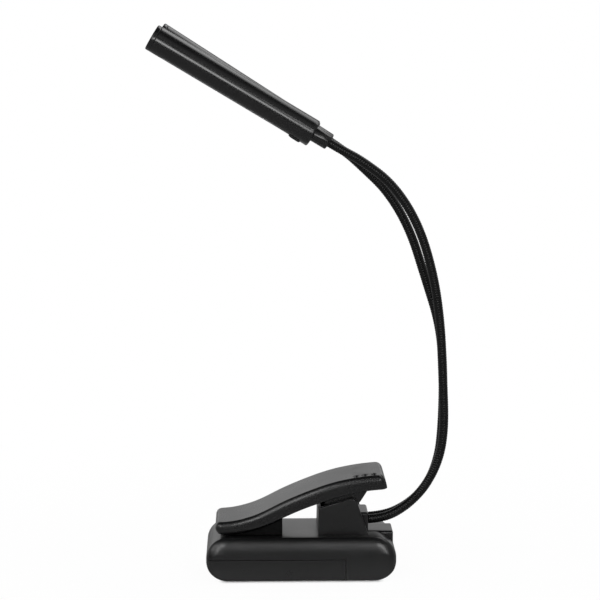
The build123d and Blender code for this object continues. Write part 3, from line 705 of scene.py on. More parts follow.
def bevelled_plate(skin: Skin, outline: Array, y: tuple, bevel: float, steps: int = 5) -> Skin:
    """A plate with rounded rims: an outline in XZ carried from one side to the other.

    The outline is drawn in by bevel times (1 - sin t) while Y moves by bevel times (1 - cos t), for t to a
    quarter turn.

    Args:
        skin: where to put it.
        outline: its points, going round.
        y: the two sides.
        bevel: the rim's radius.
        steps: rows in each rim.

    Returns:
        The skin.
    """
    along = np.roll(outline, -1, axis=0) - np.roll(outline, 1, axis=0)
    outward = np.stack([along[:, 1], -along[:, 0]], axis=-1)
    outward /= np.linalg.norm(outward, axis=1, keepdims=True)
    ahead = np.roll(outline, -1, axis=0)
    outward *= np.sign(np.sum(outline[:, 0] * ahead[:, 1] - outline[:, 1] * ahead[:, 0]))
    turn = np.linspace(0, QUARTER, steps)
    inset = np.concatenate([bevel * (1 - np.sin(turn)), bevel * (1 - np.sin(turn[::-1]))])
    across = np.concatenate([y[0] + bevel * (1 - np.cos(turn)), y[1] - bevel * (1 - np.cos(turn[::-1]))])
    flat = outline[None] - inset[:, None, None] * outward[None]
    rows = np.stack([flat[..., 0], np.broadcast_to(across[:, None], flat.shape[:2]), flat[..., 1]], axis=-1)
    skin.grid(rows, wrap_columns=True)
    return skin.disc(rows[0]).disc(rows[-1])


def plate_pair(skin: Skin, outline: Array, y: tuple, bevel: float) -> None:
    """Two plates, one on each side of the lamp's middle plane.

    Args:
        skin: where to put them.
        outline: their points, going round.
        y: the two sides of the plate at +Y.
        bevel: the rims' radius.
    """
    bevelled_plate(skin, outline, (-y[1], -y[0]), bevel)
    bevelled_plate(skin, outline, y, bevel)


def round_corners(corners: tuple, radii: tuple, steps: int = 7) -> Array:
    """An outline with each corner rounded by an arc.

    Args:
        corners: the corners, going round.
        radii: one radius for each corner.
        steps: points in each arc.

    Returns:
        The outline's points.
    """
    points = np.array(corners, float)
    made = []
    for k, radius in enumerate(radii):
        corner = points[k]
        back = points[k - 1] - corner
        ahead = points[(k + 1) % len(points)] - corner
        back, ahead = back / np.linalg.norm(back), ahead / np.linalg.norm(ahead)
        half = math.acos(float(np.clip(back @ ahead, -1, 1))) / 2
        reach = radius / math.tan(half)
        middle = (back + ahead) / np.linalg.norm(back + ahead) * radius / math.sin(half)
        first, last = back * reach - middle, ahead * reach - middle
        sweep = math.pi - 2 * half
        t = np.linspace(0, 1, steps)[:, None]
        arc = (np.sin((1 - t) * sweep) * first + np.sin(t * sweep) * last) / math.sin(sweep)
        made.append(corner + middle + arc)
    return np.vstack(made)


def circle(count: int) -> Array:
    """Angles of points evenly spaced round a full turn."""
    return np.linspace(0, 2 * np.pi, count, endpoint=False)


def lathe(profile: Array, angle: Array) -> Array:
    """A profile turned about the X axis: Y and Z are the radius times the angle's cosine and sine.

    Args:
        profile: pairs of distance along the axis and radius.
        angle: the angles at which it stands.

    Returns:
        A grid of points, with a row for each pair.
    """
    x, radius = np.array(profile, float).T
    return np.stack([np.broadcast_to(x[:, None], (len(x), len(angle))), radius[:, None] * np.cos(angle),
                     radius[:, None] * np.sin(angle)], axis=-1)


@dataclass
class BasePillow:
    """The base's upper shell: a pillow with ball-like ends."""

    parting: float = 9.3
    top: float = 18.2
    end_centre: float = 31.5
    end_radius: float = 9.0
    flat_half_width: float = 16.0
    swell: float = 3.5
    turn_in: float = 75.0
    wall: float = 2.0
    end_columns: int = 24
    run_columns: int = 40
    roll_rows: int = 28
    flat_rows: int = 8

    def outline(self) -> tuple:
        """Columns along the upper half of the front outline, from one end's parting to the other's.

        Returns:
            Each column's place on the middle line, and its direction from there as an angle above the
            parting.
        """
        end, arc = np.ones(self.end_columns), np.linspace(0, QUARTER, self.end_columns)
        run = np.linspace(1, -1, self.run_columns + 2)[1:-1]
        middle = self.end_centre * np.concatenate([end, run, -end])
        return middle, np.concatenate([arc, np.full(self.run_columns, QUARTER), np.pi - arc[::-1]])

    def surface(self) -> Array:
        """The pillow: half ovals about the middle line, shrunk by cos t while the half width grows.

        The half width grows by the swell, as a quarter oval of the distance from the outline. That oval is
        as long as the end radius on top and shortens smoothly to the swell at the parting of the ends, to
        meet the plan corners of the lower half.

        Returns:
            Rows from the front's middle line over the flat top to the back's.
        """
        middle, angle = self.outline()
        turn = np.linspace(QUARTER, 0, self.roll_rows)[:, None]
        x = middle + np.cos(turn) * self.end_radius * np.cos(angle)
        z = self.parting + np.cos(turn) * (self.top - self.parting) * np.sin(angle)
        lift = np.clip(np.degrees(np.minimum(angle, np.pi - angle)) / self.turn_in, 0, 1)
        reach = self.swell + (self.end_radius - self.swell) * lift ** 2 * (3 - 2 * lift)
        inset = np.clip((1 - np.cos(turn)) * self.end_radius / reach, 0, 1)
        half = self.flat_half_width + self.swell * np.sqrt(1 - (1 - inset) ** 2)
        front = np.stack([x, -half, z], axis=-1)
        flat = np.repeat(front[-1:], self.flat_rows, axis=0)
        flat[..., 1] = np.linspace(-1, 1, self.flat_rows + 2)[1:-1, None] * self.flat_half_width
        return np.concatenate([front, flat, front[::-1] * np.array([1, -1, 1])])

    def build(self) -> bpy.types.Object:
        """Make the shell, with its wall turned inwards.

        Returns:
            The shell.
        """
        made = Skin().grid(self.surface()).build("base_upper_shell", Finish.HOUSING, sharp=60.0)
        thicken(made, self.wall)
        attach(made, "base")
        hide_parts("base_top_shell")
        return made


@dataclass
class BaseFittings:
    """What stands on the base: the hinge cheeks, their back wall and the jack's block."""

    cheek: tuple = ((7.3, 16.6), (29.3, 16.6), (23.2, 34.6), (7.5, 30.0))
    cheek_radii: tuple = (0.5, 0.5, 2.4, 0.6)
    cheek_y: tuple = (10.6, 13.0)
    cheek_rim: float = 0.35
    back_wall: tuple = ((7.4, 17.0), (9.0, 17.0), (9.0, 28.5), (7.4, 28.5))
    back_wall_radii: tuple = (0.2, 0.2, 0.5, 0.5)
    back_wall_half_width: float = 11.0
    back_wall_rim: float = 0.1
    tail_x: tuple = (27.0, 39.7)
    tail_half_width: float = 7.2
    tail_z: tuple = (9.5, 18.3)
    tail_rim: float = 0.6
    tail_wall: float = 1.3
    tail_corner: float = 1.0
    tail_least_corner: float = 0.2
    tail_ring: RingPattern = RingPattern(6, 6, 8)
    jack_z: float = 12.9
    mouth_radius: float = 3.1
    mouth_rim: tuple = ((0.0, 0.35), (0.1, 0.1), (0.35, 0.0))
    mouth_depth: float = 1.9

    def tail(self, skin: Skin) -> Skin:
        """The jack's block: rounded rectangles along X, drawn in to a round mouth and back inside.

        Args:
            skin: where to put it.

        Returns:
            The skin.
        """
        start, end = self.tail_x
        turn = np.linspace(0, QUARTER, 5)
        inset = np.concatenate([[0.0], self.tail_rim * (1 - np.cos(turn)), [self.tail_wall] * 2])
        places = np.concatenate([[start], end - self.tail_rim + self.tail_rim * np.sin(turn),
                                 [end - self.mouth_depth, start]])
        corner = np.clip(self.tail_corner - inset, self.tail_least_corner, None)
        low, high = self.tail_z
        z, y = self.tail_ring.rings(low + inset, high - inset, self.tail_half_width - inset, corner)
        angle = np.arctan2(z[0] - self.jack_z, y[0])
        depth, widening = np.array((*self.mouth_rim, (self.mouth_depth, 0.0))).T
        reach = self.mouth_radius + widening[:, None]
        hole_y, hole_z = reach * np.cos(angle), self.jack_z + reach * np.sin(angle)
        y, z = np.vstack([y[:-2], hole_y, y[-2:]]), np.vstack([z[:-2], hole_z, z[-2:]])
        x = np.concatenate([places[:-2], end - depth, places[-2:]])
        rows = np.stack([np.broadcast_to(x[:, None], y.shape), y, z], axis=-1)
        return skin.grid(rows, wrap_rows=True, wrap_columns=True)

    def build(self) -> bpy.types.Object:
        """Make the cheeks, the back wall and the jack's block.

        Returns:
            The fittings, as one piece.
        """
        skin = self.tail(Skin())
        plate_pair(skin, round_corners(self.cheek, self.cheek_radii), self.cheek_y, self.cheek_rim)
        bevelled_plate(skin, round_corners(self.back_wall, self.back_wall_radii),
                       (-self.back_wall_half_width, self.back_wall_half_width), self.back_wall_rim)
        made = skin.build("base_fittings", Finish.HOUSING, sharp=42.0)
        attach(made, "base")
        return made


@dataclass
class ClipLever:
    """The clip's lever: an S-shaped tray with a rounded rim, a grip on its thumb end, and its hinge ears.

    The tray's rows go outwards from the middle of its top: coarse rows, then fine rows for the grip, each
    set given by its first and last inset and its count, then the rim and the skirt. A row of the skirt holds
    its insets at the sides, the toe and the thumb end, and its share of the way down to the bottom line. The
    hollow underneath holds its insets at the toe and the thumb end, and its corner radius.
    """

    x: tuple = (-36.6, 37.0)
    half_width: float = 14.0
    corner: float = 2.4
    slant: float = 1.5
    slant_loss: float = 0.9
    rim: float = 1.8
    rim_share: float = 0.5
    rim_corner: float = 0.5
    rim_rows: int = 14
    top: tuple = ((-36.6, 24.0), (-33.4, 24.2), (-30.0, 24.5), (-25.8, 25.3), (-17.4, 28.1), (-9.0, 32.3),
                  (-0.5, 36.1), (7.0, 39.0), (14.2, 41.3), (21.4, 42.9), (29.0, 44.0), (36.7, 44.6))
    bottom: tuple = ((-36.6, 18.6), (-34.8, 18.7), (-26.0, 19.6), (-17.5, 21.8), (-9.0, 25.4), (-0.5, 29.2),
                     (7.0, 32.0), (14.0, 34.3), (21.0, 36.2), (28.0, 37.5), (37.0, 38.3))
    coarse_rows: tuple = (12.6, 6.4, 6)
    fine_rows: tuple = (6.0, 1.9, 26)
    skirt_rows: tuple = ((0.03, 0.1, 0.61875, 0.62), (0.12, 0.4, 0.4125, 0.76), (0.28, 1.0, 0.2475, 0.9),
                         (0.45, 1.6, 0.25, 0.965), (0.75, 2.2, 0.5, 1.0))
    skirt: float = 2.0
    plate: float = 2.2
    hollow: tuple = (7.0, 2.4, 0.5)
    hollow_middle: tuple = (12.0, 12.0, 0.0)
    ring: RingPattern = RingPattern(9, 236, 30)
    dots: tuple = (23.6, 27.2, 31.2)
    dot_y: float = -10.4
    dot_size: tuple = (0.95, 1.7)
    dot_depth: float = 0.8
    rib_zone: tuple = (22.5, 34.0)
    rib_reach: float = 11.6
    rib_fade: tuple = (0.4, 0.25)
    rib_pitch: float = 0.92
    rib_depth: float = 0.03
    ear_y: tuple = (8.0, 10.3)
    ear: tuple = ((11.4, 26.5), (20.6, 26.5), (25.7, 32.6), (29.1, 38.0), (29.1, 42.2), (9.0, 37.9))
    ear_radii: tuple = (4.0, 3.6, 6.0, 0.6, 0.6, 0.6)
    ear_rim: float = 0.3

    def relief(self, x: Array, y: Array) -> Array:
        """Depth of the grip: fine ribs along Y and three dimples near the front edge.

        A dimple falls off as exp(-d^4), d being the distance in units of its size. The ribs follow a cosine
        and fade out as hyperbolic tangents at the ends of their zone.

        Args:
            x: places along the lever.
            y: places across it.

        Returns:
            How far the surface lies below the plain top.
        """
        across = 0.5 - 0.5 * np.tanh((np.abs(y) - self.rib_reach) / self.rib_fade[1])
        start, end = (0.5 * np.tanh((x - place) / self.rib_fade[0]) for place in self.rib_zone)
        depth = self.rib_depth * across * (start - end) * (1 - np.cos(2 * np.pi * x / self.rib_pitch))
        for place in self.dots:
            away = np.hypot((x - place) / self.dot_size[0], (y - self.dot_y) / self.dot_size[1])
            depth += self.dot_depth * np.exp(-away ** 4)
        return depth

    def rows(self) -> Array:
        """The tray's rows, from the middle of its top over the rim to the middle of its underside.

        Returns:
            For each row: inset of the sides, the toe and the thumb end, corner radius, drop below the top
            line, and share of the way down to the bottom line.
        """
        coarse, fine = np.linspace(*self.coarse_rows), np.linspace(*self.fine_rows)
        flat = np.concatenate([[self.half_width], coarse, fine])
        turn = np.linspace(0, QUARTER, self.rim_rows)
        edge = self.rim * (1 - np.sin(turn))
        inset = np.concatenate([flat, edge])
        share = np.concatenate([np.zeros_like(flat), self.rim_share * (1 - np.cos(turn))])
        thumb = inset + self.slant * (1 - self.slant_loss * share)
        drawn_in = np.concatenate([flat, edge * self.rim_corner])
        radius = np.minimum(np.clip(self.corner - drawn_in, 0.0, None), self.half_width - inset)
        upper = np.column_stack([inset, inset, thumb, radius, np.zeros_like(inset), share])
        skirt = np.array(self.skirt_rows)
        none = np.zeros(len(skirt))
        side = np.column_stack([skirt[:, :3], none + self.corner, none, skirt[:, 3]])
        under = np.array([(self.skirt, *self.hollow, 0.0, 1.0), (self.skirt, *self.hollow, self.plate, 0.0),
                          (self.half_width, *self.hollow_middle, self.plate, 0.0)])
        return np.vstack([upper, side, under])

    def tray(self) -> Skin:
        """The tray: rounded rectangles, each at (1 - share) (top - drop) + share bottom.

        Returns:
            The lever's skin, without its ears.
        """
        side, toe, thumb, radius, drop, share = self.rows().T
        x, y = self.ring.rings(self.x[0] + toe, self.x[1] - thumb, self.half_width - side, radius)
        top, bottom = smooth_line(self.top), smooth_line(self.bottom)
        drop, share = drop[:, None], share[:, None]
        z = (1 - share) * (top(x) - drop) + share * bottom(x)
        z = z - np.where((drop == 0) & (share == 0), self.relief(x, y), 0.0)
        return Skin().grid(np.stack([x, y, z], axis=-1), wrap_columns=True)

    def build(self) -> bpy.types.Object:
        """Make the lever with its ears.

        Returns:
            The lever.
        """
        skin = self.tray()
        plate_pair(skin, round_corners(self.ear, self.ear_radii), self.ear_y, self.ear_rim)
        made = skin.build("lever_shell", Finish.LEVER, sharp=42.0)
        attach(made, "clip")
        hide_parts("lever")
        return made


@dataclass
class JawPad:
    """Rubber wedge under the lever."""

    x: tuple = (-32.0, -8.0)
    half_width: float = 12.8
    floor: float = 18.3
    bottom: tuple = ClipLever.bottom
    overlap: float = 0.05
    rim: float = 0.5
    columns: int = 40

    def build(self) -> bpy.types.Object:
        """Make the pad: the space between the lever's lower line and the flat of the base.

        Returns:
            The pad.
        """
        start, end = self.x
        x = np.linspace(end, start, self.columns)
        upper = np.column_stack([x, smooth_line(self.bottom)(x) + self.overlap])
        outline = np.vstack([[(start, self.floor), (end, self.floor)], upper])
        skin = bevelled_plate(Skin(), outline, (-self.half_width, self.half_width), self.rim)
        made = skin.build("jaw_pad_rubber", Finish.PAD)
        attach(made, "clip")
        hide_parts("jaw_pad")
        return made


@dataclass
class Neck:
    """One wound neck: its corners, and its pieces, each cut round one of its joints."""

    arm: str
    side: int
    corners: tuple
    radius: float = 1.95
    valley: float = 1.8
    pitch: float = 1.05
    crest_power: float = 0.55
    rings_per_turn: int = 8
    sides: int = 20
    span_steps: int = 60
    reach: float = 9.0
    stiff_rings: int = 4

    NODES = {"lower": "neck_lower", "side": "neck_middle", "upper": "neck_upper", "head": "neck_end"}

    def line(self) -> Array:
        """The centre line: a quadratic spline with the corners as its control points, even steps along it.

        Returns:
            Points along the line.
        """
        corners = np.array(self.corners, float)
        corners[:, 1] *= self.side
        first = (corners[:-1] + corners[1:]) / 2
        starts, ends = first[:-1].copy(), first[1:].copy()
        starts[0], ends[-1] = corners[0], corners[-1]
        t = np.linspace(0, 1, self.span_steps, endpoint=False)[None, :, None]
        bends = corners[1:-1, None]
        curve = (1 - t) ** 2 * starts[:, None] + 2 * t * (1 - t) * bends + t ** 2 * ends[:, None]
        points = np.vstack([curve.reshape(-1, 3), corners[-1]])
        length = np.concatenate([[0], np.cumsum(np.linalg.norm(np.diff(points, axis=0), axis=1))])
        even = np.linspace(0, length[-1], int(length[-1] / self.pitch * self.rings_per_turn))
        return np.stack([np.interp(even, length, points[:, k]) for k in range(3)], axis=-1)

    def winding(self, line: Array) -> tuple:
        """The wound surface: the radius swings once a turn with the distance along and the angle round.

        Args:
            line: points along the centre line.

        Returns:
            The grid of points and how high each stands in the winding.
        """
        along = np.gradient(line, axis=0)
        along /= np.linalg.norm(along, axis=1, keepdims=True)
        across = np.array([0.0, 1.0, 0.0]) - along * along[:, 1:2]
        across /= np.linalg.norm(across, axis=1, keepdims=True)
        third = np.cross(along, across)
        angle = circle(self.sides)
        turn = np.arange(len(line))[:, None] / self.rings_per_turn - angle / (2 * np.pi)
        height = np.abs(np.cos(np.pi * turn)) ** self.crest_power
        radius = self.valley + (self.radius - self.valley) * height
        cosine, sine = np.cos(angle)[None, :, None], np.sin(angle)[None, :, None]
        outward = cosine * across[:, None] + sine * third[:, None]
        return line[:, None] + radius[..., None] * outward, height

    def build(self) -> list:
        """Make the neck's pieces, each holding one joint.

        Returns:
            The pieces, from the base up.
        """
        line = self.line()
        grid, height = self.winding(line)
        joints = [joint for joint in frame["joints"]
                  if joint["name"].startswith(self.arm) and joint["name"].endswith("bend")]
        places = [int(np.argmin(np.linalg.norm(line - np.array(joint["pos_m"]) / MM, axis=1)))
                  for joint in joints]
        cuts = [0] + [(a + b) // 2 for a, b in zip(places, places[1:])] + [len(line) - 1]
        step = np.linalg.norm(line[1] - line[0])
        made = []
        for joint, place, start, end in zip(joints, places, cuts, cuts[1:]):
            part = slice(start, end + 1)
            skin = Skin().grid(grid[part], wrap_columns=True, marks=height[part])
            skin.disc(grid[start]).disc(grid[end])
            stretch = joint["name"].split("_")[1]
            piece = skin.build(f"{self.arm}_neck_winding_{stretch}", Finish.NECK, sharp=60.0, mark="wind")
            room = min(place - start, end - place) - self.stiff_rings
            spread = min(int(self.reach / step), room)
            tuple(line[place - spread] * MM)
            tuple(line[place + spread] * MM)
            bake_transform(piece)
            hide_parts(f"{self.arm}_{self.NODES[stretch]}")
            made.append(piece)
        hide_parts(f"{self.arm}_neck_tip", f"{self.arm}_core_wire")
        return made


@dataclass
class StickHead:
    """One stick head: tube with a lens window, end cap, collar, lens and button.

    Rims are pairs of distance from the piece's end and drop below its radius. The collar's bore is pairs of
    distance from its rear end and radius, and the button's rows are pairs of the oval's share and height
    above its foot.
    """

    arm: str
    rear: tuple
    slope: float
    collar_rise: float = 0.0
    radius: float = 5.7
    wall: float = 1.0
    length: float = 78.0
    rear_rim: float = 0.6
    rear_hole: float = 0.38
    rim_steps: int = 6
    edge_bevel: float = 0.18
    edge_angle: float = 50.0
    window: tuple = (13.0, 70.0)
    window_half_width: float = 2.8
    window_columns: int = 13
    window_rows: int = 24
    closed_columns: int = 68
    rear_run: tuple = (2.0, 6)
    cap: float = 2.0
    seam: float = 0.03
    seam_lip: float = 0.08
    seam_rows: tuple = (0.12, 0.3)
    cap_rim: tuple = ((0.6, 0.0), (0.32, 0.07), (0.12, 0.24), (0.02, 0.5), (0.0, 0.8), (0.05, 1.1))
    cap_dish: tuple = (0.12, 2.0)
    pole: float = 0.001
    turned_sides: int = 64
    collar_radius: float = 3.3
    collar_length: float = 7.5
    collar_front_rim: tuple = ((0.0, 0.2), (0.1, 0.05), (0.3, 0.0))
    collar_rear_rim: tuple = ((0.6, 0.0), (0.25, 0.1), (0.06, 0.3), (0.0, 0.6))
    collar_bore: tuple = ((0.0, 2.02), (2.0, 1.95), (6.5, 1.95), (7.5, 2.0))
    lens_gap: float = 0.1
    lens_sink: float = 0.03
    lens_thickness: float = 1.25
    lens_columns: int = 25
    lens_rows: int = 60
    button_x: float = 6.0
    button_size: tuple = (5.4, 3.8)
    button_power: float = 0.5
    button_show: float = 0.65
    button_rows: tuple = ((0.02, 0.0), (0.6, 0.03), (0.84, 0.12), (0.94, 0.27), (1.0, 0.6))
    button_root: float = -3.3
    button_sides: int = 48

    def place(self, points: Array) -> Array:
        """Turn points from the head's frame, X along the tube to its tip, into the lamp's frame.

        Args:
            points: points in the head's frame.

        Returns:
            The same points in the lamp's frame.
        """
        tilt = math.radians(self.slope)
        along = np.array([-math.cos(tilt), 0, math.sin(tilt)])
        upward = np.array([math.sin(tilt), 0, math.cos(tilt)])
        across = np.cross(upward, along)
        return np.array(self.rear) + points @ np.stack([along, across, upward])

    def dress(self, skin: Skin, name: str, finish: Finish, slot: str,
              body: str = "head") -> bpy.types.Object:
        """Make a piece of the head, stand it for its node and let it ride.

        Args:
            skin: the piece's surface.
            name: the node's name, without the arm's.
            finish: the piece's finish.
            slot: not used.
            body: the body that it rides, without the arm's name.

        Returns:
            The piece.
        """
        made = skin.build(f"{self.arm}_{name}_skin", finish, sharp=35.0)
        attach(made, f"{self.arm}_{body}")
        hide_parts(f"{self.arm}_{name}")
        return made

    def tube(self) -> bpy.types.Object:
        """The tube: a grid round and along it, open at the window, with a wall turned inwards.

        Returns:
            The tube.
        """
        edge = math.asin(self.window_half_width / self.radius)
        under = np.linspace(-QUARTER - edge, -QUARTER + edge, self.window_columns)
        over = np.linspace(-QUARTER + edge, 3 * QUARTER - edge, self.closed_columns)[1:-1]
        arc = np.linspace(0, QUARTER, self.rim_steps)
        end = self.length - self.cap - self.seam
        x = np.concatenate([self.rear_rim * (1 - np.cos(arc)),
                            np.linspace(self.rear_run[0], self.window[0], self.rear_run[1]),
                            np.linspace(*self.window, self.window_rows)[1:],
                            [end - self.seam_rows[1], end - self.seam_rows[0], end]])
        radius = np.full(len(x), self.radius)
        radius[:self.rim_steps] -= self.rear_rim * (1 - np.sin(arc))
        radius[-1] -= self.seam_lip
        points = lathe(np.column_stack([x, radius]), np.concatenate([under, over]))
        middle = (x[:-1] + x[1:]) / 2
        open_row = (middle > self.window[0]) & (middle < self.window[1])
        open_column = np.arange(len(under) + len(over)) < len(under) - 1
        keep = ~(open_row[:, None] & open_column[None, :])
        skin = Skin().grid(self.place(points), wrap_columns=True, keep=keep)
        hole = points[0] * np.array([1, self.rear_hole, self.rear_hole])
        hole = hole + np.array([0, 0, self.collar_rise])
        skin.grid(self.place(np.stack([hole, points[0]])), wrap_columns=True)
        made = self.dress(skin, "head_tube", Finish.HEAD, "head_plastic")
        thicken(made, self.wall)
        rim = made.modifiers.new("rim", "BEVEL")
        rim.width = self.edge_bevel * MM
        rim.segments = 2
        rim.limit_method = "ANGLE"
        rim.angle_limit = math.radians(self.edge_angle)
        return made

    def turned(self, profile: list, name: str, rise: float = 0.0) -> bpy.types.Object:
        """A piece turned from a profile about the head's axis, or about a line above it.

        Args:
            profile: pairs of distance along the axis and radius.
            name: the node's name, without the arm's.
            rise: how far above the head's axis the piece's own lies.

        Returns:
            The piece.
        """
        points = lathe(profile, circle(self.turned_sides)) + np.array([0, 0, rise])
        skin = Skin().grid(self.place(points), wrap_columns=True)
        return self.dress(skin, name, Finish.HEAD, "head_plastic")

    def end_cap(self) -> bpy.types.Object:
        """The front cap, with a rounded rim and a shallow dish.

        Returns:
            The cap.
        """
        start, end, r = self.length - self.cap + self.seam, self.length, self.radius
        dish = end - self.cap_dish[0]
        profile = [(start, self.pole), (start, r - self.seam_lip)]
        profile += [(start + row, r) for row in self.seam_rows]
        profile += [(end - back, r - drop) for back, drop in self.cap_rim]
        return self.turned(profile + [(dish, self.cap_dish[1]), (dish, self.pole)], "end_cap")

    def collar(self) -> bpy.types.Object:
        """The collar between neck and head, with rounded rims and a bore.

        Returns:
            The collar.
        """
        r, back = self.collar_radius, -self.collar_length
        rims = [(-away, r - drop) for away, drop in self.collar_front_rim]
        rims += [(back + away, r - drop) for away, drop in self.collar_rear_rim]
        bore = [(back + away, radius) for away, radius in self.collar_bore]
        return self.turned([bore[-1], *rims, *bore], "collar", self.collar_rise)

    def lens(self) -> bpy.types.Object:
        """The lens strip: a smooth shell in the window.

        Returns:
            The lens.
        """
        half = math.asin((self.window_half_width - self.lens_gap) / self.radius)
        angle = -QUARTER + np.linspace(-half, half, self.lens_columns)
        x = np.linspace(self.window[0] + self.lens_gap, self.window[1] - self.lens_gap, self.lens_rows)
        outside = self.radius - self.lens_sink
        outer, inner = (lathe(np.column_stack([x, np.full(len(x), radius)]), angle)
                        for radius in (outside, outside - self.lens_thickness))
        skin = Skin().grid(self.place(outer)).grid(self.place(inner))
        for side in (np.s_[0], np.s_[-1], np.s_[:, 0], np.s_[:, -1]):
            skin.grid(self.place(np.stack([outer[side], inner[side]])))
        return self.dress(skin, "lens", Finish.LENS, "lens_clear")

    def button(self) -> bpy.types.Object:
        """The oval push button: rings of a rounded oval, domed at its foot.

        The oval is half its size times the cosine and the sine of the angle, each raised to the button's
        power.

        Returns:
            The button.
        """
        angle = circle(self.button_sides)
        facing = np.stack([np.cos(angle), np.sin(angle)], axis=-1)
        oval = np.sign(facing) * np.abs(facing) ** self.button_power * self.button_size / 2
        foot = -self.radius - self.button_show
        rows = [(share, foot + rise) for share, rise in self.button_rows]
        rows += [(rows[-1][0], self.button_root), (rows[0][0], self.button_root)]
        points = np.stack([np.column_stack([oval * share, np.full(len(oval), z)]) for share, z in rows])
        points[..., 0] += self.button_x
        skin = Skin().grid(self.place(points), wrap_columns=True)
        return self.dress(skin, "button", Finish.BUTTON, "button_plastic", body="button")

    def build(self) -> list:
        """Make the head's pieces."""
        return [self.tube(), self.end_cap(), self.collar(), self.lens(), self.button()]


@dataclass
class KeptNodes:
    """CAD nodes whose shape is right, and the finish that each gets."""

    finishes: dict = field(default_factory=lambda: {
        Finish.HOUSING: ("base_bottom_shell", "battery_door", "neck_block"),
        Finish.TRAY: ("battery_tray",),
        Finish.CELL: ("battery_cell_1", "battery_cell_2", "battery_cell_3"),
        Finish.CONTACT: ("contact_springs", "contact_tabs"),
        Finish.DRIVER_BOARD: ("driver_board",),
        Finish.JACK: ("dc_jack", "front_switch", "back_switch"),
        Finish.STEEL: ("case_screws", "hinge_pin", "clip_spring"),
        Finish.LED_BOARD: ("front_led_board", "back_led_board"),
        Finish.LED: ("front_leds", "back_leds"),
    })

    def dress(self) -> None:
        """Give each kept node its finish."""
        for finish, nodes in self.finishes.items():
            for node in nodes:
                made = frame["nodes"][node]
                made.data.materials.clear()
                made.data.materials.append(material(finish))
                LOG.info("kept node %s in %s", node, finish.name)


@dataclass(frozen=True)
class Lamp:
    """One oblong area lamp: place, size and aim in metres, power in watts, spread in degrees."""

    name: str
    place: tuple
    size: tuple
    power: float
    in_gloss: bool = True
    aim: tuple = (0.0, 0.0, 0.1)
    spread: float = 180.0

    def build(self) -> None:
        """Make the lamp, facing its aim."""
        data = bpy.data.lights.new(self.name, "AREA")
        data.shape = "RECTANGLE"
        data.size, data.size_y = self.size
        data.energy = self.power
        data.spread = math.radians(self.spread)
        made = stand(self.name, data)
        look(made, Vector(self.place), Vector(self.aim) - Vector(self.place))
        made.visible_glossy = self.in_gloss


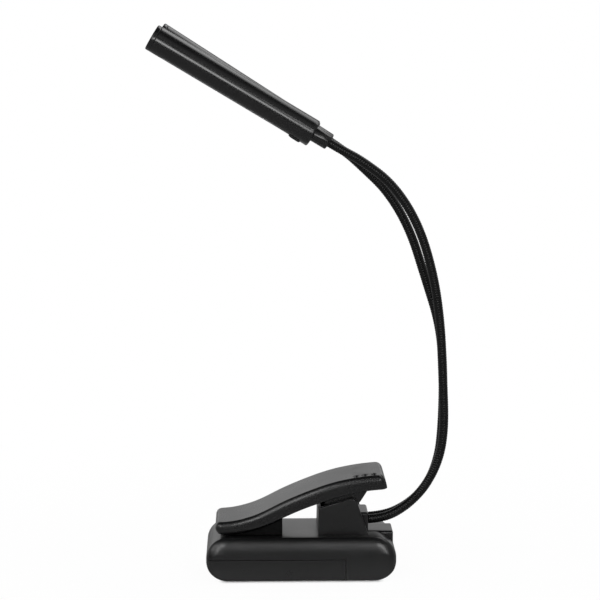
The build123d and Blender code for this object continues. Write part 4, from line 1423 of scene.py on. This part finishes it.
@dataclass
class Studio:
    """Camera, room, floor and soft lamps.

    The levels are pairs of height, as a direction's Z, and brightness. The floor's eases hold the start and
    the end of a distance from the base's foot, and the values there.
    """

    eye: tuple = (-20.45, -830.0, 239.0)
    yaw: float = 1.4
    pitch: float = 8.3
    focal_pixels: float = 1970.0
    picture: float = 600.0
    sensor: float = 36.0
    clip: tuple = (0.01, 20.0)
    front_levels: tuple = ((0.0, 0.15), (0.15, 0.2), (0.38, 0.4), (0.55, 0.48), (0.68, 0.34), (0.82, 0.07),
                           (1.0, 0.03))
    back_levels: tuple = ((0.0, 0.8), (0.3, 0.74), (0.5, 0.45), (0.7, 0.14), (1.0, 0.03))
    front_to_back: tuple = (-0.2, 0.3)
    floor_reach: float = 6.0
    floor_z: float = -0.0002
    floor_tone: float = 0.9
    foot: tuple = (0.0315, 0.0185, 1.0)
    contact_ease: tuple = (0.0, 0.004, 0.05, 1.0)
    shadow_ease: tuple = (0.0, 0.26, 0.96, 1.0)
    bounce_ease: tuple = (0.008, 0.036, 0.9, 0.42)
    lamps: tuple = (
        Lamp("soft_top", (0.1, 0.0, 1.4), (1.2, 1.2), 6.0, in_gloss=False),
        Lamp("soft_left", (-0.78, -0.73, 0.76), (1.3, 0.4), 4.2),
        Lamp("soft_over", (0.62, 0.5, 1.15), (1.3, 0.45), 4.6),
        Lamp("strip_front", (-0.12, -0.87, 0.27), (0.9, 0.2), 0.6, aim=(-0.12, 0.0, 0.42), spread=50.0),
        Lamp("glint_left", (-0.26, -0.90, 0.38), (0.12, 0.3), 0.06, aim=(-0.03, 0.0, -0.15), spread=36.0),
        Lamp("glint_right", (0.28, -0.90, 0.37), (0.12, 0.3), 0.085, aim=(0.03, 0.0, -0.15), spread=36.0))

    def camera(self) -> None:
        """Make the camera at the photograph's viewing angle."""
        data = bpy.data.cameras.new("camera")
        data.sensor_width = self.sensor
        data.lens = self.sensor * self.focal_pixels / self.picture
        data.clip_start, data.clip_end = self.clip
        made = stand("camera", data)
        yaw, pitch = math.radians(self.yaw), math.radians(self.pitch)
        facing = Vector((math.sin(yaw) * math.cos(pitch), math.cos(yaw) * math.cos(pitch),
                         -math.sin(pitch)))
        look(made, Vector(self.eye) * MM, facing)
        bpy.context.scene.camera = made

    def world(self) -> None:
        """A room that is white to the eye and through glass, and dark above in reflections."""
        world = bpy.data.worlds.new("studio")
        bpy.context.scene.world = world
        tree = ShaderTree(world)
        eye = tree.ray("Camera")
        through = tree.ray("Transmission")
        facing = tree.node("ShaderNodeTexCoord", output="Generated")
        depth = tree.node("ShaderNodeSeparateXYZ", {}, {"Vector": facing}, output="Y")
        height = tree.node("ShaderNodeSeparateXYZ", {}, {"Vector": facing}, output="Z")
        front, back = (tree.ramp(height, [(place, (level,) * 3) for place, level in levels])
                       for levels in (self.front_levels, self.back_levels))
        behind = tree.ease(depth, *self.front_to_back)
        room = front * (1.0 - behind) + back * behind
        seen = eye.larger(through)
        shader = tree.node("ShaderNodeBackground", {}, {"Color": grey(1.0),
                                                        "Strength": seen + (1.0 - seen) * room})
        tree.node("ShaderNodeOutputWorld", {}, {"Surface": shader})

    def floor_material(self) -> bpy.types.Material:
        """White to the eye but for a soft shadow near the foot, and to other rays a grey fading outwards.

        Returns:
            The floor's material.
        """
        made = bpy.data.materials.new("floor_white")
        tree = ShaderTree(made)
        eye = tree.ray("Camera")
        past = tree.vector("SUBTRACT", tree.vector("ABSOLUTE", tree.place()), self.foot)
        away = tree.vector("LENGTH", tree.vector("MAXIMUM", past), output="Value")
        glow = tree.ease(away, *self.contact_ease) * tree.ease(away, *self.shadow_ease)
        white = tree.node("ShaderNodeEmission", {}, {"Color": grey(1.0), "Strength": 1.0})
        matte = tree.node("ShaderNodeBsdfDiffuse", {}, {"Color": grey(self.floor_tone)})
        bounce = tree.node("ShaderNodeBsdfDiffuse", {}, {"Color": tree.ease(away, *self.bounce_ease)})
        seen = tree.node("ShaderNodeMixShader", {}, {0: glow, 1: matte, 2: white})
        tree.surface(tree.node("ShaderNodeMixShader", {}, {0: eye, 1: bounce, 2: seen}))
        return made

    def floor(self) -> None:
        """A square floor just under the lamp."""
        reach, z = self.floor_reach, self.floor_z
        mesh = bpy.data.meshes.new("floor")
        corners = [(-reach, -reach, z), (reach, -reach, z), (reach, reach, z), (-reach, reach, z)]
        mesh.from_pydata(corners, [], [(0, 1, 2, 3)])
        mesh.materials.append(self.floor_material())
        made = stand("floor", mesh)

    def build(self) -> None:
        """Make the whole studio."""
        bpy.context.scene.view_settings.view_transform = "Standard"
        self.camera()
        self.world()
        self.floor()
        for lamp in self.lamps:
            lamp.build()


FRONT_CORNERS = (
    (25.9, 2.4, 22.5), (35.5, 2.4, 22.5), (45.9, 2.6, 28.4), (54.2, 2.9, 37.4), (59.9, 3.2, 49.6),
    (61.7, 3.6, 63.7), (60.8, 4.2, 83.4), (59.6, 4.9, 107.3), (56.3, 5.6, 129.3), (49.5, 6.4, 151.2),
    (38.6, 7.1, 168.0), (25.0, 7.5, 178.1), (17.76, 7.5, 181.78), (8.31, 7.5, 187.41))
BACK_CORNERS = (
    (25.9, 2.4, 22.5), (35.6, 2.4, 22.5), (47.2, 2.6, 28.0), (55.4, 2.9, 36.8), (60.0, 3.2, 48.8),
    (61.4, 3.6, 63.0), (61.8, 4.2, 84.6), (60.2, 4.9, 105.9), (53.6, 5.7, 126.7), (47.1, 6.5, 147.2),
    (37.7, 7.1, 163.3), (26.6, 7.5, 174.0), (18.7, 7.5, 181.06), (9.44, 7.5, 187.01))


def main() -> None:
    """Build the lamp's looks and the studio."""
    logging.basicConfig(level=logging.INFO, format="%(message)s")
    KeptNodes().dress()
    pieces = [BasePillow().build(), BaseFittings().build(), ClipLever().build(), JawPad().build()]
    pieces += Neck("front", -1, FRONT_CORNERS).build()
    pieces += Neck("back", 1, BACK_CORNERS).build()
    pieces += StickHead("front", (5.3, -7.5, 189.2), 30.8).build()
    pieces += StickHead("back", (5.77, 7.5, 187.76), 32.7, collar_rise=1.35).build()
    for piece in pieces:
        LOG.info("made %s with %d faces", piece.name, len(piece.data.polygons))
    Studio().build()


if __name__ == "__main__":
    main()
